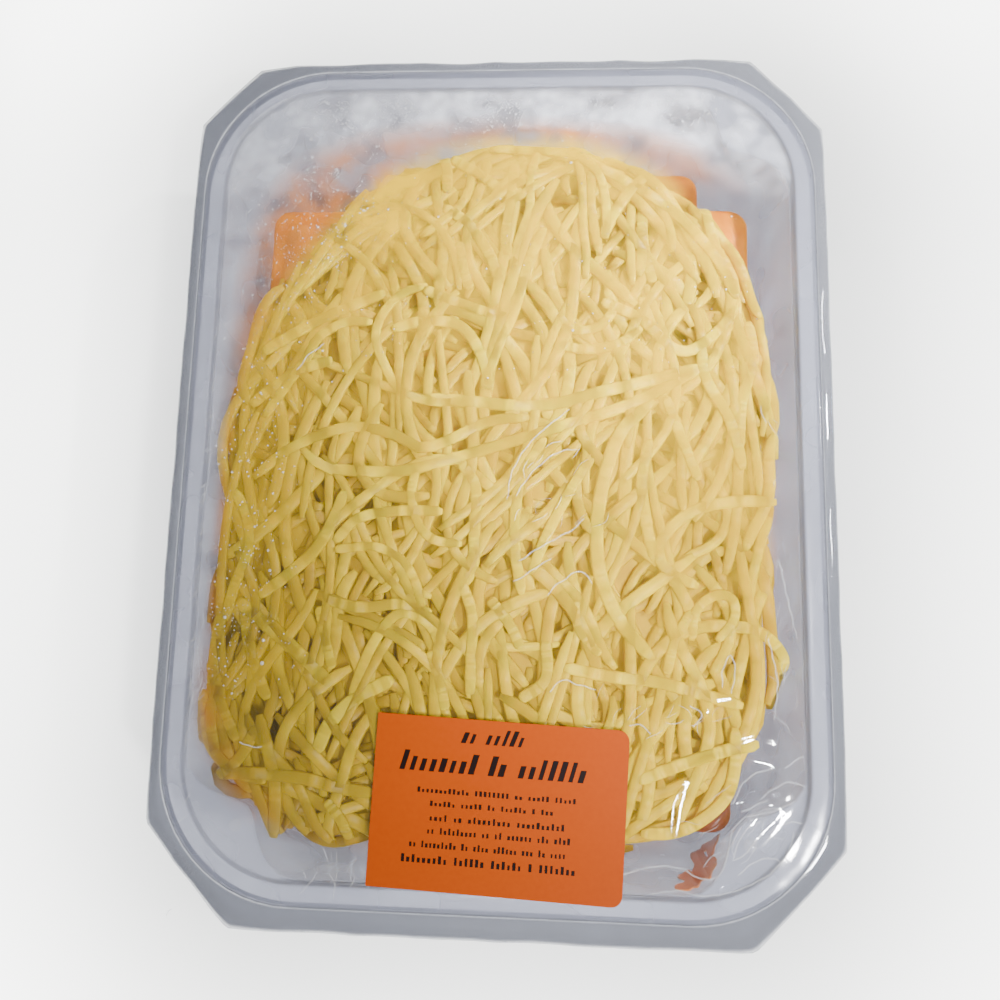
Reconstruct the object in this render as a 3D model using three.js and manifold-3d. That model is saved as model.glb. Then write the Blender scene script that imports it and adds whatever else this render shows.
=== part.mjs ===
// Chilled ravioli in tomato sauce under grated cheese, in a clear thermoformed tray with a heat-sealed film
// lid and a blank orange label. Millimetres, +Z up: X is the tray's width, Y its length, and the origin is
// the middle of its footprint, on the surface that it stands on.
import * as THREE from 'three';
import { mergeVertices } from 'three/addons/utils/BufferGeometryUtils.js';
import Module from 'manifold-3d';

const wasm = await Module();
wasm.setup();

// Driving dimensions of the tray
const RIM_WIDTH = 162;
const RIM_LENGTH = 216;
const RIM_HEIGHT = 42;
const RIM_RADIUS = 34;
const FLANGE = 5.5;
const LIP_DROP = 2.6;
const WALL = 0.8;
const SHELF_DROP = 1.5;
const SHELF_STEP = 0.7;
const LUG_DEPTH = 11.3;
const LUG_FOOT = 20;
const DRAFT = 0.14;
const BASE_CURVE = 6;
const FOOT_WIDTH = 7;
const PANEL_RISE = 1;

// Driving dimensions of the food
const CLEAR = 0.3;
const RAVIOLI_SIDE = 42;
const RAVIOLI_HEIGHT = 11.5;
const RAVIOLI_RADIUS = 4;
const CORNER_TRIM = 5;
const BED_LOW = 12;
const BED_HIGH = 24;
const BED_EDGE_Y = 48;
const BED_INSET = 1.3;
const BED_CORNER = 54;
const HEAP_BASE = BED_HIGH + 2 * CLEAR + RAVIOLI_HEIGHT;
const CORE_RISE = 2.6;
const HEAP_HALF_WIDTH = 68.5;
const HEAP_HALF_LENGTH = 93.5;
const HEAP_MIDDLE_X = -1;
const HEAP_MIDDLE_Y = -2.5;
// The heap lies a little askew: its middle moves left by this share of the way towards the near end
const HEAP_LEAN = 0.02;
// Slantwise ends of the heap: two far corners where ravioli lie bare, and two that clear the tray's lugs
const HEAP_CUTS = [
  { degrees: 140, reach: 77 },
  { degrees: 36, reach: 83 },
  { degrees: -45, reach: 103 },
  { degrees: 225, reach: 105 },
];
const CORE_SHARE = 0.93;
const STRAND_WIDTH = 3.4;
const STRAND_THICKNESS = 2.4;
const STRAND_SINK = 0.5;
const STRAND_SAG = 0.25;
const STRAND_TRIES = 115;

// Driving dimensions of the film and the label
const FILM = 0.3;
const FILM_GAP = 0.1;
const FILM_BULGE = 2.8;
const FILM_OVERHANG = 2.8;
const FILM_CORNERS = [4.5, 6.8, 4.2, 4.4];
const LABEL = { width: 60, length: 40, thickness: 0.2, x: 2.3, y: -83, turn: -0.042, radius: 2 };

const TRAY_STEPS = { corner: 9, side: 2 };
const FILM_STEPS = { corner: 6, side: 2 };
const RAVIOLI_STEPS = { corner: 2, side: 1 };

// A fixed sequence of numbers from 0 to 1, so that the heap comes out the same each time.
function seeded(seed) {
  let state = seed;
  return () => {
    state = (state + 0x6d2b79f5) | 0;
    let t = Math.imul(state ^ (state >>> 15), 1 | state);
    t = (t + Math.imul(t ^ (t >>> 7), 61 | t)) ^ t;
    return ((t ^ (t >>> 14)) >>> 0) / 4294967296;
  };
}

// One closed ring: a rounded rectangle with its long sides along Y. A lug is how far the outline comes in
// over a corner, as the tray's corner shelves do.
function ring(halfWidth, halfLength, radius, height, steps, lug = 0) {
  const points = [];
  for (let corner = 0; corner < 4; corner++) {
    const signX = corner === 0 || corner === 3 ? 1 : -1;
    const signY = corner < 2 ? 1 : -1;
    const middle = [signX * (halfWidth - radius), signY * (halfLength - radius)];
    for (let k = 0; k <= steps.corner; k++) {
      const share = k / steps.corner;
      const angle = (corner + share) * Math.PI / 2;
      const reach = radius - lug * Math.sin(Math.PI * share) ** 2;
      points.push([middle[0] + reach * Math.cos(angle), middle[1] + reach * Math.sin(angle)]);
    }
    const along = corner % 2 === 0 ? halfWidth - radius : halfLength - radius;
    const last = points.at(-1);
    for (let k = 1; k < steps.side; k++) {
      const travel = 2 * along * k / steps.side;
      const turned = (corner + 2) * Math.PI / 2;
      points.push([last[0] + travel * Math.cos(turned), last[1] + travel * Math.sin(turned)]);
    }
  }
  const level = typeof height === 'function' ? height : () => height;
  return points.map(([x, y]) => new THREE.Vector3(x, y, level(x, y)));
}

// A closed body drawn through rings: a sphere whose rows are moved onto them, with its two poles in the
// middle of the first ring and of the last. The rings run from the upper face outwards and back below.
function skin(rings) {
  const columns = rings[0].length;
  const pole = (points) => {
    const middle = points.reduce((sum, point) => sum.add(point), new THREE.Vector3());
    return Array(columns).fill(middle.divideScalar(columns));
  };
  const body = new THREE.SphereGeometry(1, columns, rings.length + 1);
  const rows = [pole(rings[0]), ...rings, pole(rings.at(-1))];
  rows.forEach((row, j) => {
    for (let i = 0; i <= columns; i++) {
      const { x, y, z } = row[i % columns];
      body.attributes.position.setXYZ(j * (columns + 1) + i, x, y, z);
    }
  });
  return body;
}

function solid(geometry) {
  geometry.deleteAttribute('normal');
  geometry.deleteAttribute('uv');
  const merged = mergeVertices(geometry, 1e-4);
  return new wasm.Manifold(new wasm.Mesh({
    numProp: 3,
    vertProperties: merged.attributes.position.array,
    triVerts: new Uint32Array(merged.index.array),
  }));
}

function bare({ vertProperties, triVerts }) {
  const geometry = new THREE.BufferGeometry();
  geometry.setAttribute('position', new THREE.BufferAttribute(vertProperties, 3));
  geometry.setIndex(Array.from(triVerts));
  return geometry.toNonIndexed();
}

function piece(name, geometry, material) {
  const mesh = new THREE.Mesh(geometry, material);
  mesh.name = name;
  return mesh;
}

const clearPlastic = new THREE.MeshStandardMaterial({ color: 0xc9ccd6, roughness: 0.2, metalness: 0 });
const clearFilm = new THREE.MeshStandardMaterial({ color: 0xd5d8de, roughness: 0.12, metalness: 0 });
const labelPaper = new THREE.MeshStandardMaterial({ color: 0xe06a10, roughness: 0.35, metalness: 0 });
const pasta = new THREE.MeshStandardMaterial({ color: 0xe0a060, roughness: 0.5, metalness: 0 });
const tomatoSauce = new THREE.MeshStandardMaterial({ color: 0xc05a28, roughness: 0.35, metalness: 0 });
const gratedCheese = new THREE.MeshStandardMaterial({ color: 0xe3cf70, roughness: 0.55, metalness: 0 });

// The inside of the tray's wall at a height, as half sizes and a corner radius.
const FLANGE_INNER = { x: RIM_WIDTH / 2 - FLANGE, y: RIM_LENGTH / 2 - FLANGE, radius: RIM_RADIUS - FLANGE };
const SHELF_HEIGHT = RIM_HEIGHT - SHELF_DROP;

function inside(height, inset = 0) {
  const inward = SHELF_STEP + DRAFT * (SHELF_HEIGHT - height) + inset;
  return [FLANGE_INNER.x - inward, FLANGE_INNER.y - inward, FLANGE_INNER.radius - inward];
}

function lugAt(height) {
  const share = THREE.MathUtils.clamp((height - LUG_FOOT) / (SHELF_HEIGHT - LUG_FOOT), 0, 1);
  return LUG_DEPTH * share ** 0.7;
}

// The thermoformed shell: from the middle of its inside, up to the flange, over its lip and down to the foot.
function trayGeometry() {
  const at = (height, inset, level = height, lug = lugAt(height)) =>
    ring(...inside(height, inset), level, TRAY_STEPS, lug);
  const flange = (outward, height) =>
    ring(RIM_WIDTH / 2 - outward, RIM_LENGTH / 2 - outward, RIM_RADIUS - outward, height, TRAY_STEPS);
  const wallLevels = [BASE_CURVE, LUG_FOOT, (LUG_FOOT + SHELF_HEIGHT) / 2];
  const curve = BASE_CURVE * 0.3;
  const foot = BASE_CURVE + FOOT_WIDTH;
  const underside = RIM_HEIGHT - WALL;
  return skin([
    at(0, foot + 1, PANEL_RISE + WALL),
    at(0, foot - 1, WALL),
    at(0, BASE_CURVE, WALL),
    at(curve, curve + WALL / 2, curve + WALL / 2),
    ...wallLevels.map((height) => at(height, 0)),
    at(SHELF_HEIGHT, 0),
    flange(FLANGE, SHELF_HEIGHT),
    flange(FLANGE, RIM_HEIGHT),
    flange(WALL / 2, RIM_HEIGHT),
    flange(0, RIM_HEIGHT - WALL / 2),
    flange(0, RIM_HEIGHT - LIP_DROP),
    flange(WALL, RIM_HEIGHT - LIP_DROP),
    flange(WALL, underside),
    flange(FLANGE - WALL, underside),
    flange(FLANGE - WALL, SHELF_HEIGHT - WALL),
    at(SHELF_HEIGHT, -WALL, SHELF_HEIGHT - WALL),
    ...wallLevels.toReversed().map((height) => at(height, -WALL)),
    at(curve, curve - WALL / 2, curve - WALL / 2),
    at(0, BASE_CURVE - WALL, 0),
    at(0, foot - 1, 0),
    at(0, foot + 1, PANEL_RISE),
  ]);
}

// Sauce with the lower pasta sunk in it. It has not run into the corners of the tray, and its far end is
// lower, where the top layer of ravioli stops short.
function bedGeometry() {
  const floor = PANEL_RISE + WALL + CLEAR;
  const [halfWidth, halfLength] = inside(BASE_CURVE, BED_INSET);
  const top = (x, y) => BED_HIGH - 0.6 + 0.5 * Math.sin(x / 7) * Math.cos(y / 9);
  const across = (share) =>
    ring(halfWidth * share, halfLength * share, BED_CORNER * share, top, FILM_STEPS);
  const wall = (share) => {
    const outline = ring(halfWidth, halfLength, BED_CORNER, top, FILM_STEPS);
    return outline.map(({ x, y, z }) => {
      const height = THREE.MathUtils.lerp(floor, z, share);
      const outward = DRAFT * (height - BASE_CURVE);
      return new THREE.Vector3(x * (1 + outward / halfWidth), y * (1 + outward / halfLength), height);
    });
  };
  const inset = BASE_CURVE + FOOT_WIDTH / 2;
  const full = skin([
    across(0.35),
    across(0.65),
    across(0.88),
    wall(1),
    wall(0.8),
    wall(0.2),
    ring(...inside(0, inset).slice(0, 2), BED_CORNER - 10, floor, FILM_STEPS),
  ]);
  const scoop = new THREE.BoxGeometry(RIM_WIDTH, RIM_LENGTH, RIM_HEIGHT);
  scoop.translate(0, BED_EDGE_Y + RIM_LENGTH / 2, BED_LOW + RIM_HEIGHT / 2);
  return bare(solid(full).subtract(solid(scoop)).getMesh());
}

// One pillow of filled pasta: two sheets sealed together round a flat border.
function ravioliGeometry(side) {
  const half = side / 2;
  const border = 0.24 * half;
  const levels = [
    [half * 0.34, RAVIOLI_HEIGHT],
    [half * 0.62, 9.4],
    [half - border, 5.2],
    [half, 4.8],
    [half, 2.4],
    [half - border, 2.8],
    [half * 0.5, 0],
  ];
  return skin(levels.map(([reach, height]) =>
    ring(reach, reach, Math.min(RAVIOLI_RADIUS, reach * 0.6), height, RAVIOLI_STEPS)));
}

// Where each pillow lies: its middle, its turn, the level that it lies on and its side.
function ravioliPieces() {
  const upper = BED_HIGH + CLEAR;
  const lower = BED_LOW + CLEAR;
  const columns = [-46, 0.5, 47];
  const rows = [54.2, 11, -32, -75];
  const places = [
    [-10.5, 74, 0.03, lower, RAVIOLI_SIDE - 1],
    [35.5, 71.5, -0.03, lower, RAVIOLI_SIDE - 1],
  ];
  const draw = seeded(11);
  rows.forEach((y, row) => columns.forEach((x, column) => {
    const inCorner = row === rows.length - 1 && column !== 1;
    const side = RAVIOLI_SIDE - (inCorner ? CORNER_TRIM : 1.5 * draw());
    const shift = inCorner ? CORNER_TRIM / 2 : 0;
    const turn = (draw() - 0.5) * 0.05;
    places.push([x - 2.2 * shift * Math.sign(x), y + shift, turn, upper, side]);
  }));
  return places.map(([x, y, turn, level, side], i) => {
    const name = `ravioli_${String(i + 1).padStart(2, '0')}`;
    const mesh = piece(name, ravioliGeometry(side), pasta);
    mesh.position.set(x, y, level);
    mesh.rotation.z = turn;
    return mesh;
  });
}

// How far out over the heap a point is, from 0 in the middle to 1 at its edge.
function heapShare(x, y) {
  const power = 8;
  const cuts = HEAP_CUTS.map(({ degrees, reach }) => {
    const angle = THREE.MathUtils.degToRad(degrees);
    return Math.max(0, x * Math.cos(angle) + y * Math.sin(angle)) / reach;
  });
  const across = (x - HEAP_MIDDLE_X - HEAP_LEAN * y) / HEAP_HALF_WIDTH;
  const along = (y - HEAP_MIDDLE_Y) / HEAP_HALF_LENGTH;
  return [across, along, ...cuts].reduce((sum, reach) => sum + reach ** power, 0) ** (1 / power);
}

function heapTop(x, y) {
  const fall = Math.max(0, 1 - heapShare(x, y) ** 3);
  const lumps = 0.5 * Math.sin(x / 11 + 1) * Math.sin(y / 13) + 0.3 * Math.sin((x + y) / 6);
  return HEAP_BASE + 0.4 + CORE_RISE * fall ** 0.7 + lumps * fall;
}

// The bare core of the heap: rings drawn where the share reaches each level.
function heapCore() {
  const around = 28;
  const section = (share, height) => Array.from({ length: around }, (_, k) => {
    const angle = 2 * Math.PI * k / around;
    let reach = 60;
    for (let pass = 0; pass < 20; pass++) {
      const [x, y] = [HEAP_MIDDLE_X + reach * Math.cos(angle), HEAP_MIDDLE_Y + reach * Math.sin(angle)];
      reach *= share / heapShare(x, y);
    }
    const [x, y] = [HEAP_MIDDLE_X + reach * Math.cos(angle), HEAP_MIDDLE_Y + reach * Math.sin(angle)];
    return new THREE.Vector3(x, y, height(x, y));
  });
  return skin([
    section(0.3, heapTop),
    section(0.6, heapTop),
    section(0.82, heapTop),
    section(CORE_SHARE, () => HEAP_BASE + 0.6),
    section(CORE_SHARE - 0.03, () => HEAP_BASE),
  ]);
}

// The level of what lies in the heap so far, on squares of one step, raised by each strand that is laid.
const heapLevels = new Map();
const LEVEL_STEP = 1.5;

function levelKey(x, y) {
  return `${Math.round(x / LEVEL_STEP)},${Math.round(y / LEVEL_STEP)}`;
}

function levelAt(x, y) {
  const core = heapShare(x, y) < CORE_SHARE ? heapTop(x, y) : HEAP_BASE;
  return Math.max(core, heapLevels.get(levelKey(x, y)) ?? 0);
}

// One strand of cheese: a bar of rectangular section, curved in plan and laid over what is there already.
// It rests on the high places, sags a little between them, and is left out where there is no room.
function strandGeometry(middleX, middleY, chord, length, bend) {
  const segments = Math.ceil(length / 9);
  const points = [];
  let heading = chord - bend / 2;
  let x = middleX - length / 2 * Math.cos(chord);
  let y = middleY - length / 2 * Math.sin(chord);
  for (let k = 0; k <= segments; k++) {
    if (heapShare(x, y) > 1.03) return null;
    points.push(new THREE.Vector3(x, y, Math.max(levelAt(x, y) - STRAND_SINK, HEAP_BASE)));
    x += length / segments * Math.cos(heading);
    y += length / segments * Math.sin(heading);
    heading += bend / segments;
  }
  for (let pass = 0; pass < 8; pass++) {
    for (let k = 1; k < segments; k++) {
      const bridge = (points[k - 1].z + points[k + 1].z) / 2 - STRAND_SAG;
      points[k].z = Math.max(points[k].z, bridge);
    }
  }
  const path = new THREE.CatmullRomCurve3(points);
  const footprint = path.getPoints(segments * 6);
  const top = ({ z }) => z + STRAND_THICKNESS;
  if (footprint.some((point) => top(point) > filmUnderside(point.x, point.y) - CLEAR)) return null;
  for (const point of footprint) {
    for (const [dx, dy] of [[0, 0], [1, 0], [-1, 0], [0, 1], [0, -1]]) {
      const key = levelKey(point.x + dx * LEVEL_STEP, point.y + dy * LEVEL_STEP);
      heapLevels.set(key, Math.max(heapLevels.get(key) ?? 0, top(point)));
    }
  }
  const up = new THREE.Vector3(0, 0, STRAND_THICKNESS);
  return skin(points.map((point, k) => {
    const side = path.getTangent(k / segments).cross(up).setLength(STRAND_WIDTH / 2);
    const [right, left] = [point.clone().add(side), point.clone().sub(side)];
    return [right, right.clone().add(up), left.clone().add(up), left];
  }));
}

// The largest connected shell of a joined solid, without what a join seals inside it or leaves loose.
function largestShell(joined) {
  const { vertProperties, triVerts } = joined.getMesh();
  const parent = Array.from({ length: vertProperties.length / 3 }, (_, i) => i);
  const root = (i) => {
    while (parent[i] !== i) {
      parent[i] = parent[parent[i]];
      i = parent[i];
    }
    return i;
  };
  for (let t = 0; t < triVerts.length; t += 3) {
    parent[root(triVerts[t])] = root(triVerts[t + 1]);
    parent[root(triVerts[t + 1])] = root(triVerts[t + 2]);
  }
  const shells = new Map();
  for (let t = 0; t < triVerts.length; t += 3) {
    const key = root(triVerts[t]);
    if (!shells.has(key)) shells.set(key, []);
    shells.get(key).push(triVerts[t], triVerts[t + 1], triVerts[t + 2]);
  }
  const largest = [...shells.values()].reduce((best, next) => (next.length > best.length ? next : best));
  return bare({ vertProperties, triVerts: largest });
}

// Grated cheese heaped on the ravioli: strands spread evenly over the bare core, most of them lengthways.
function cheeseGeometry() {
  const draw = seeded(2026);
  let heap = solid(heapCore());
  for (let k = 0; k < STRAND_TRIES; k++) {
    const x = HEAP_MIDDLE_X + HEAP_HALF_WIDTH * (2 * ((k * 0.7549) % 1) - 1);
    const y = HEAP_MIDDLE_Y + HEAP_HALF_LENGTH * (2 * ((k * 0.5698) % 1) - 1);
    const chord = Math.PI * (0.5 + (draw() - 0.5) * 0.8);
    const length = 24 + 34 * draw();
    const bend = (draw() - 0.5) * 2.4;
    const strand = strandGeometry(x, y, chord, length, bend);
    if (strand) heap = heap.add(solid(strand));
  }
  return largestShell(heap);
}

// The film's lower face: raised over the food, flat on the flange, and drooping past the rim.
function filmUnderside(x, y) {
  const across = THREE.MathUtils.clamp(1 - (x / FLANGE_INNER.x) ** 2, 0, 1);
  const along = THREE.MathUtils.clamp(1 - (y / FLANGE_INNER.y) ** 2, 0, 1);
  return RIM_HEIGHT + FILM_GAP + FILM_BULGE * Math.sqrt(across * along);
}

// The film's outer edge: straight along the sides and cut off slantwise past each corner.
function filmEdge() {
  const rim = ring(RIM_WIDTH / 2, RIM_LENGTH / 2, RIM_RADIUS, 0, FILM_STEPS);
  const cut = THREE.MathUtils.degToRad(42);
  return rim.map((point) => {
    const corner = point.x > 0 ? (point.y > 0 ? 0 : 3) : (point.y > 0 ? 1 : 2);
    const middle = new THREE.Vector2(RIM_WIDTH / 2 - RIM_RADIUS, RIM_LENGTH / 2 - RIM_RADIUS);
    const out = new THREE.Vector2(Math.abs(point.x), Math.abs(point.y)).sub(middle);
    const [east, north] = [Math.max(0, out.x), Math.max(0, out.y)];
    const length = Math.hypot(east, north);
    const toSide = length * (RIM_RADIUS + FILM_OVERHANG) / Math.max(east, north);
    const slant = (east * Math.cos(cut) + north * Math.sin(cut)) / length;
    const toCut = (RIM_RADIUS + FILM_CORNERS[corner]) / Math.max(slant, 0.01);
    const past = Math.min(toSide, toCut) - RIM_RADIUS;
    const wave = 0.5 * Math.sin(point.x / 9) * Math.cos(point.y / 12);
    const x = point.x + Math.sign(point.x) * past * east / length;
    const y = point.y + Math.sign(point.y) * past * north / length;
    return new THREE.Vector3(x, y, RIM_HEIGHT + FILM_GAP - 0.3 * past - Math.abs(wave));
  });
}

function filmGeometry() {
  const { x, y, radius } = FLANGE_INNER;
  const shares = [0.35, 0.68, 0.88, 1];
  const over = shares.map((share) =>
    ring(x * share, y * share, radius * share, filmUnderside, FILM_STEPS));
  const flat = ring(RIM_WIDTH / 2, RIM_LENGTH / 2, RIM_RADIUS, RIM_HEIGHT + FILM_GAP, FILM_STEPS);
  const lower = [...over, flat, filmEdge()];
  const upper = lower.map((section) => section.map((point) => point.clone().setZ(point.z + FILM)));
  return skin([...upper, ...lower.toReversed()]);
}

// The label lies on the film and follows it.
function labelGeometry() {
  const { width, length, thickness, x, y, turn, radius } = LABEL;
  const label = new THREE.BoxGeometry(width, length, thickness, 8, 6, 1);
  const position = label.attributes.position;
  for (let i = 0; i < position.count; i++) {
    const [u, v] = [position.getX(i), position.getY(i)];
    const isCorner = Math.abs(u) === width / 2 && Math.abs(v) === length / 2;
    const trim = isCorner ? 1 - 0.3 * radius / (width / 2) : 1;
    const placedX = x + u * trim * Math.cos(turn) - v * trim * Math.sin(turn);
    const placedY = y + u * trim * Math.sin(turn) + v * trim * Math.cos(turn);
    const lift = position.getZ(i) + thickness / 2;
    position.setXYZ(i, placedX, placedY, filmUnderside(placedX, placedY) + FILM + CLEAR + lift);
  }
  return label;
}

const readyMeal = new THREE.Group();
readyMeal.add(
  piece('tray', trayGeometry(), clearPlastic),
  piece('sauce_bed', bedGeometry(), tomatoSauce),
  ...ravioliPieces(),
  piece('cheese', cheeseGeometry(), gratedCheese),
  piece('film_lid', filmGeometry(), clearFilm),
  piece('label', labelGeometry(), labelPaper),
);

export default readyMeal;
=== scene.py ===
# %% [markdown]
# # A sealed dish of ravioli under grated cheese
# A ready meal as it leaves the kitchen's packing table: ravioli and sauce in a clear formed tray, coarsely
# grated cheese over them, a clear film welded to the rim, and an orange label stuck on the film.
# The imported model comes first. It is the fixed frame that every piece below is set out in, in metres.

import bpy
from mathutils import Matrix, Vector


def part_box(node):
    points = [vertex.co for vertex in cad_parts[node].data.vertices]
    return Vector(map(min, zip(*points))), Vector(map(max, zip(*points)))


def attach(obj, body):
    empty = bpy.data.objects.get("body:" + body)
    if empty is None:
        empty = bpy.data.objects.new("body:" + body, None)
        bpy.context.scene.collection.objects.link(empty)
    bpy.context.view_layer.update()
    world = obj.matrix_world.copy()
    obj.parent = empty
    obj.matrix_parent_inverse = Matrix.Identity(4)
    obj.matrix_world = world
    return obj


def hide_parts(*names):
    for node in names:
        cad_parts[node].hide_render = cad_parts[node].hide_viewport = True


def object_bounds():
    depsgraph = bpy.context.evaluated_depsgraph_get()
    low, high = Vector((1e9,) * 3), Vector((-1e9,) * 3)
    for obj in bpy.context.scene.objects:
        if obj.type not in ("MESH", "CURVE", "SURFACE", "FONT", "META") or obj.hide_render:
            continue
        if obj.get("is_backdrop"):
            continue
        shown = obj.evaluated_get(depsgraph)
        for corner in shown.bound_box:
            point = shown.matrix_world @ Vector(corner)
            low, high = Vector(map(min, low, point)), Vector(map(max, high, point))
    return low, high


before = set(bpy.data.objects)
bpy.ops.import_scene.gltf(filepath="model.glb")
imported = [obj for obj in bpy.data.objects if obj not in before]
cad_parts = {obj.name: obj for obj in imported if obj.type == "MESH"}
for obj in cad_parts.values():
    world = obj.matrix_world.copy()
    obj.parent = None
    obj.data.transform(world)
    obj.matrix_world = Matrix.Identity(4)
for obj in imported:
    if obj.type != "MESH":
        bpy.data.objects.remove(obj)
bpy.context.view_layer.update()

# %% [markdown]
# The shapes are worked out in millimetres, as the dish's maker would, and turned to metres when a mesh is
# written. NumPy carries the long rows of points, and bmesh makes and welds the faces.

# %% Units and colours
import math

import bmesh
import bpy
import numpy as np
from mathutils import Matrix, Vector

MM = 0.001


def linear(hex_colour):
    """The linear colour, with alpha, of an sRGB hex value."""
    parts = [int(hex_colour[i:i + 2], 16) / 255 for i in (1, 3, 5)]
    return (*[c / 12.92 if c <= 0.04045 else ((c + 0.055) / 1.055) ** 2.4 for c in parts], 1.0)


def add(tree, kind, inputs=None, **settings):
    """Adds a node, with its settings, and with its inputs as values or as links from other sockets."""
    made = tree.nodes.new(kind)
    for name, value in settings.items():
        setattr(made, name, value)
    for name, value in (inputs or {}).items():
        if isinstance(value, bpy.types.NodeSocket):
            tree.links.new(value, made.inputs[name])
        else:
            made.inputs[name].default_value = value
    return made


def material(name):
    """A new material with an empty node tree."""
    made = bpy.data.materials.new(name)
    made.use_nodes = True
    made.node_tree.nodes.clear()
    return made, made.node_tree


print("one millimetre is", MM, "m")

# %% [markdown]
# Every finish is put together from a few kinds of node. Sizes are in mm, so that the grain of a noise can
# be compared with the thing itself, and all noises are read at the place in the object.

# %% The nodes of a finish
def placing(tree):
    """The place in the object, in metres."""
    return add(tree, "ShaderNodeTexCoord").outputs["Object"]


def noise(tree, size_mm, detail=0.0, roughness=0.5):
    """A noise with grains of a size."""
    inputs = {"Vector": placing(tree), "Scale": 1 / (size_mm * MM), "Detail": detail, "Roughness": roughness}
    return add(tree, "ShaderNodeTexNoise", inputs).outputs["Fac"]


def noted(tree, name):
    """The number that a piece keeps for each of its points under a name."""
    return add(tree, "ShaderNodeAttribute", attribute_name=name, attribute_type="GEOMETRY").outputs["Fac"]


def maths(tree, operation, *values):
    """One sum of values or links."""
    return add(tree, "ShaderNodeMath", dict(enumerate(values)), operation=operation).outputs["Value"]


def ranged(tree, value, from_low, from_high, to_low, to_high):
    """A value carried over from one range to another, and held within it."""
    return add(tree, "ShaderNodeMapRange", {
        "Value": value, "From Min": from_low, "From Max": from_high,
        "To Min": to_low, "To Max": to_high}).outputs["Result"]


def shades(tree, share, *stops):
    """The colour at a share along a row of (position, hex colour) stops."""
    ramp = add(tree, "ShaderNodeValToRGB", {"Fac": share})
    ends = ramp.color_ramp.elements
    for end, (position, colour) in zip(ends, (stops[0], stops[-1])):
        end.position, end.color = position, linear(colour)
    for position, colour in stops[1:-1]:
        ends.new(position).color = linear(colour)
    return ramp.outputs["Color"]


def tinted(tree, share, first, second, how="MIX"):
    """Two colours mixed by a share, or multiplied."""
    inputs = {0: share, 6: first, 7: second}
    return add(tree, "ShaderNodeMix", inputs, data_type="RGBA", blend_type=how).outputs[2]


def relief(tree, height, strength, depth_mm):
    """Fine unevenness, as a bent normal."""
    return add(tree, "ShaderNodeBump", {
        "Height": height, "Strength": strength, "Distance": depth_mm * MM}).outputs["Normal"]


def skin(tree, colour, roughness, **inputs):
    """A Principled surface. Its other inputs are named with underscores for their spaces."""
    named = {name.replace("_", " "): value for name, value in inputs.items()}
    return add(tree, "ShaderNodeBsdfPrincipled", {
        "Base Color": colour, "Roughness": roughness, **named}).outputs["BSDF"]


def clear(tree, colour):
    """What lets light straight through, with a tint."""
    return add(tree, "ShaderNodeBsdfTransparent", {"Color": colour}).outputs["BSDF"]


def shared(tree, share, first, second):
    """Two surfaces mixed by a share of the second."""
    return add(tree, "ShaderNodeMixShader", {0: share, 1: first, 2: second}).outputs["Shader"]


def show(tree, surface):
    """Joins a surface to the material's output."""
    add(tree, "ShaderNodeOutputMaterial", {"Surface": surface})


WHITE = linear("#FFFFFF")
print("white in linear light:", WHITE)

# %% [markdown]
# The tray, the film, the sauce and the ravioli are all built on rings: rounded rectangles, one inside or
# above the next. A grid of faces is laid through the rings and its seam and poles are welded, as a potter
# would draw a dish up from its middle. A ring can dip inwards over its corners, where the tray has lugs.

# %% Rings, and the sheet drawn through them
def ring(half_x, half_y, radius, lug=0.0, corner=14, side=(8, 10)):
    """Points in mm round a rounded rectangle, anticlockwise from the right. side is steps along X and Y."""
    points = []
    for quarter in range(4):
        sign_x = 1 if quarter in (0, 3) else -1
        sign_y = 1 if quarter < 2 else -1
        middle = np.array([sign_x * (half_x - radius), sign_y * (half_y - radius)])
        share = np.linspace(0, 1, corner + 1)
        angle = (quarter + share) * math.pi / 2
        reach = radius - lug * np.sin(math.pi * share) ** 2
        arc = middle + reach[:, None] * np.stack([np.cos(angle), np.sin(angle)], 1)
        points.append(arc)
        steps = side[quarter % 2]
        along = 2 * (half_x - radius if quarter % 2 == 0 else half_y - radius)
        turned = (quarter + 2) * math.pi / 2
        travel = (np.arange(1, steps) / steps * along)[:, None]
        points.append(arc[-1] + travel * np.array([math.cos(turned), math.sin(turned)]))
    return np.concatenate(points)


def at_height(points, height):
    """A ring of (x, y) lifted to one height, or to a height for each point."""
    return np.column_stack([points, np.broadcast_to(height, len(points))])


def pole(x, y, z, like):
    """A ring drawn together to one point, which closes a sheet."""
    return np.tile([x, y, z], (len(like), 1))


def sheet_through(name, rings, close=True):
    """A mesh object through rings of equal count, from the first to the last. Its seam is welded."""
    columns, rows = len(rings[0]), len(rings)
    mesh_points = np.array(rings) * MM
    bm = bmesh.new()
    bmesh.ops.create_grid(bm, x_segments=columns, y_segments=rows - 1, size=1, calc_uvs=True)
    for v in bm.verts:
        i = round((v.co.x + 1) / 2 * columns)
        j = round((v.co.y + 1) / 2 * (rows - 1))
        v.co = mesh_points[j, i % columns]
    bmesh.ops.remove_doubles(bm, verts=bm.verts, dist=1e-7)
    if close:
        bmesh.ops.recalc_face_normals(bm, faces=bm.faces)
    else:
        bmesh.ops.reverse_faces(bm, faces=bm.faces)
    return finished(name, bm)


def finished(name, bm, smooth=True):
    """Writes a bmesh to a new object at the origin."""
    for face in bm.faces:
        face.smooth = smooth
    mesh = bpy.data.meshes.new(name)
    bm.to_mesh(mesh)
    bm.free()
    return placed(name, mesh)


def placed(name, data):
    """A new object at the origin, in the scene."""
    made = bpy.data.objects.new(name, data)
    bpy.context.scene.collection.objects.link(made)
    return made


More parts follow.
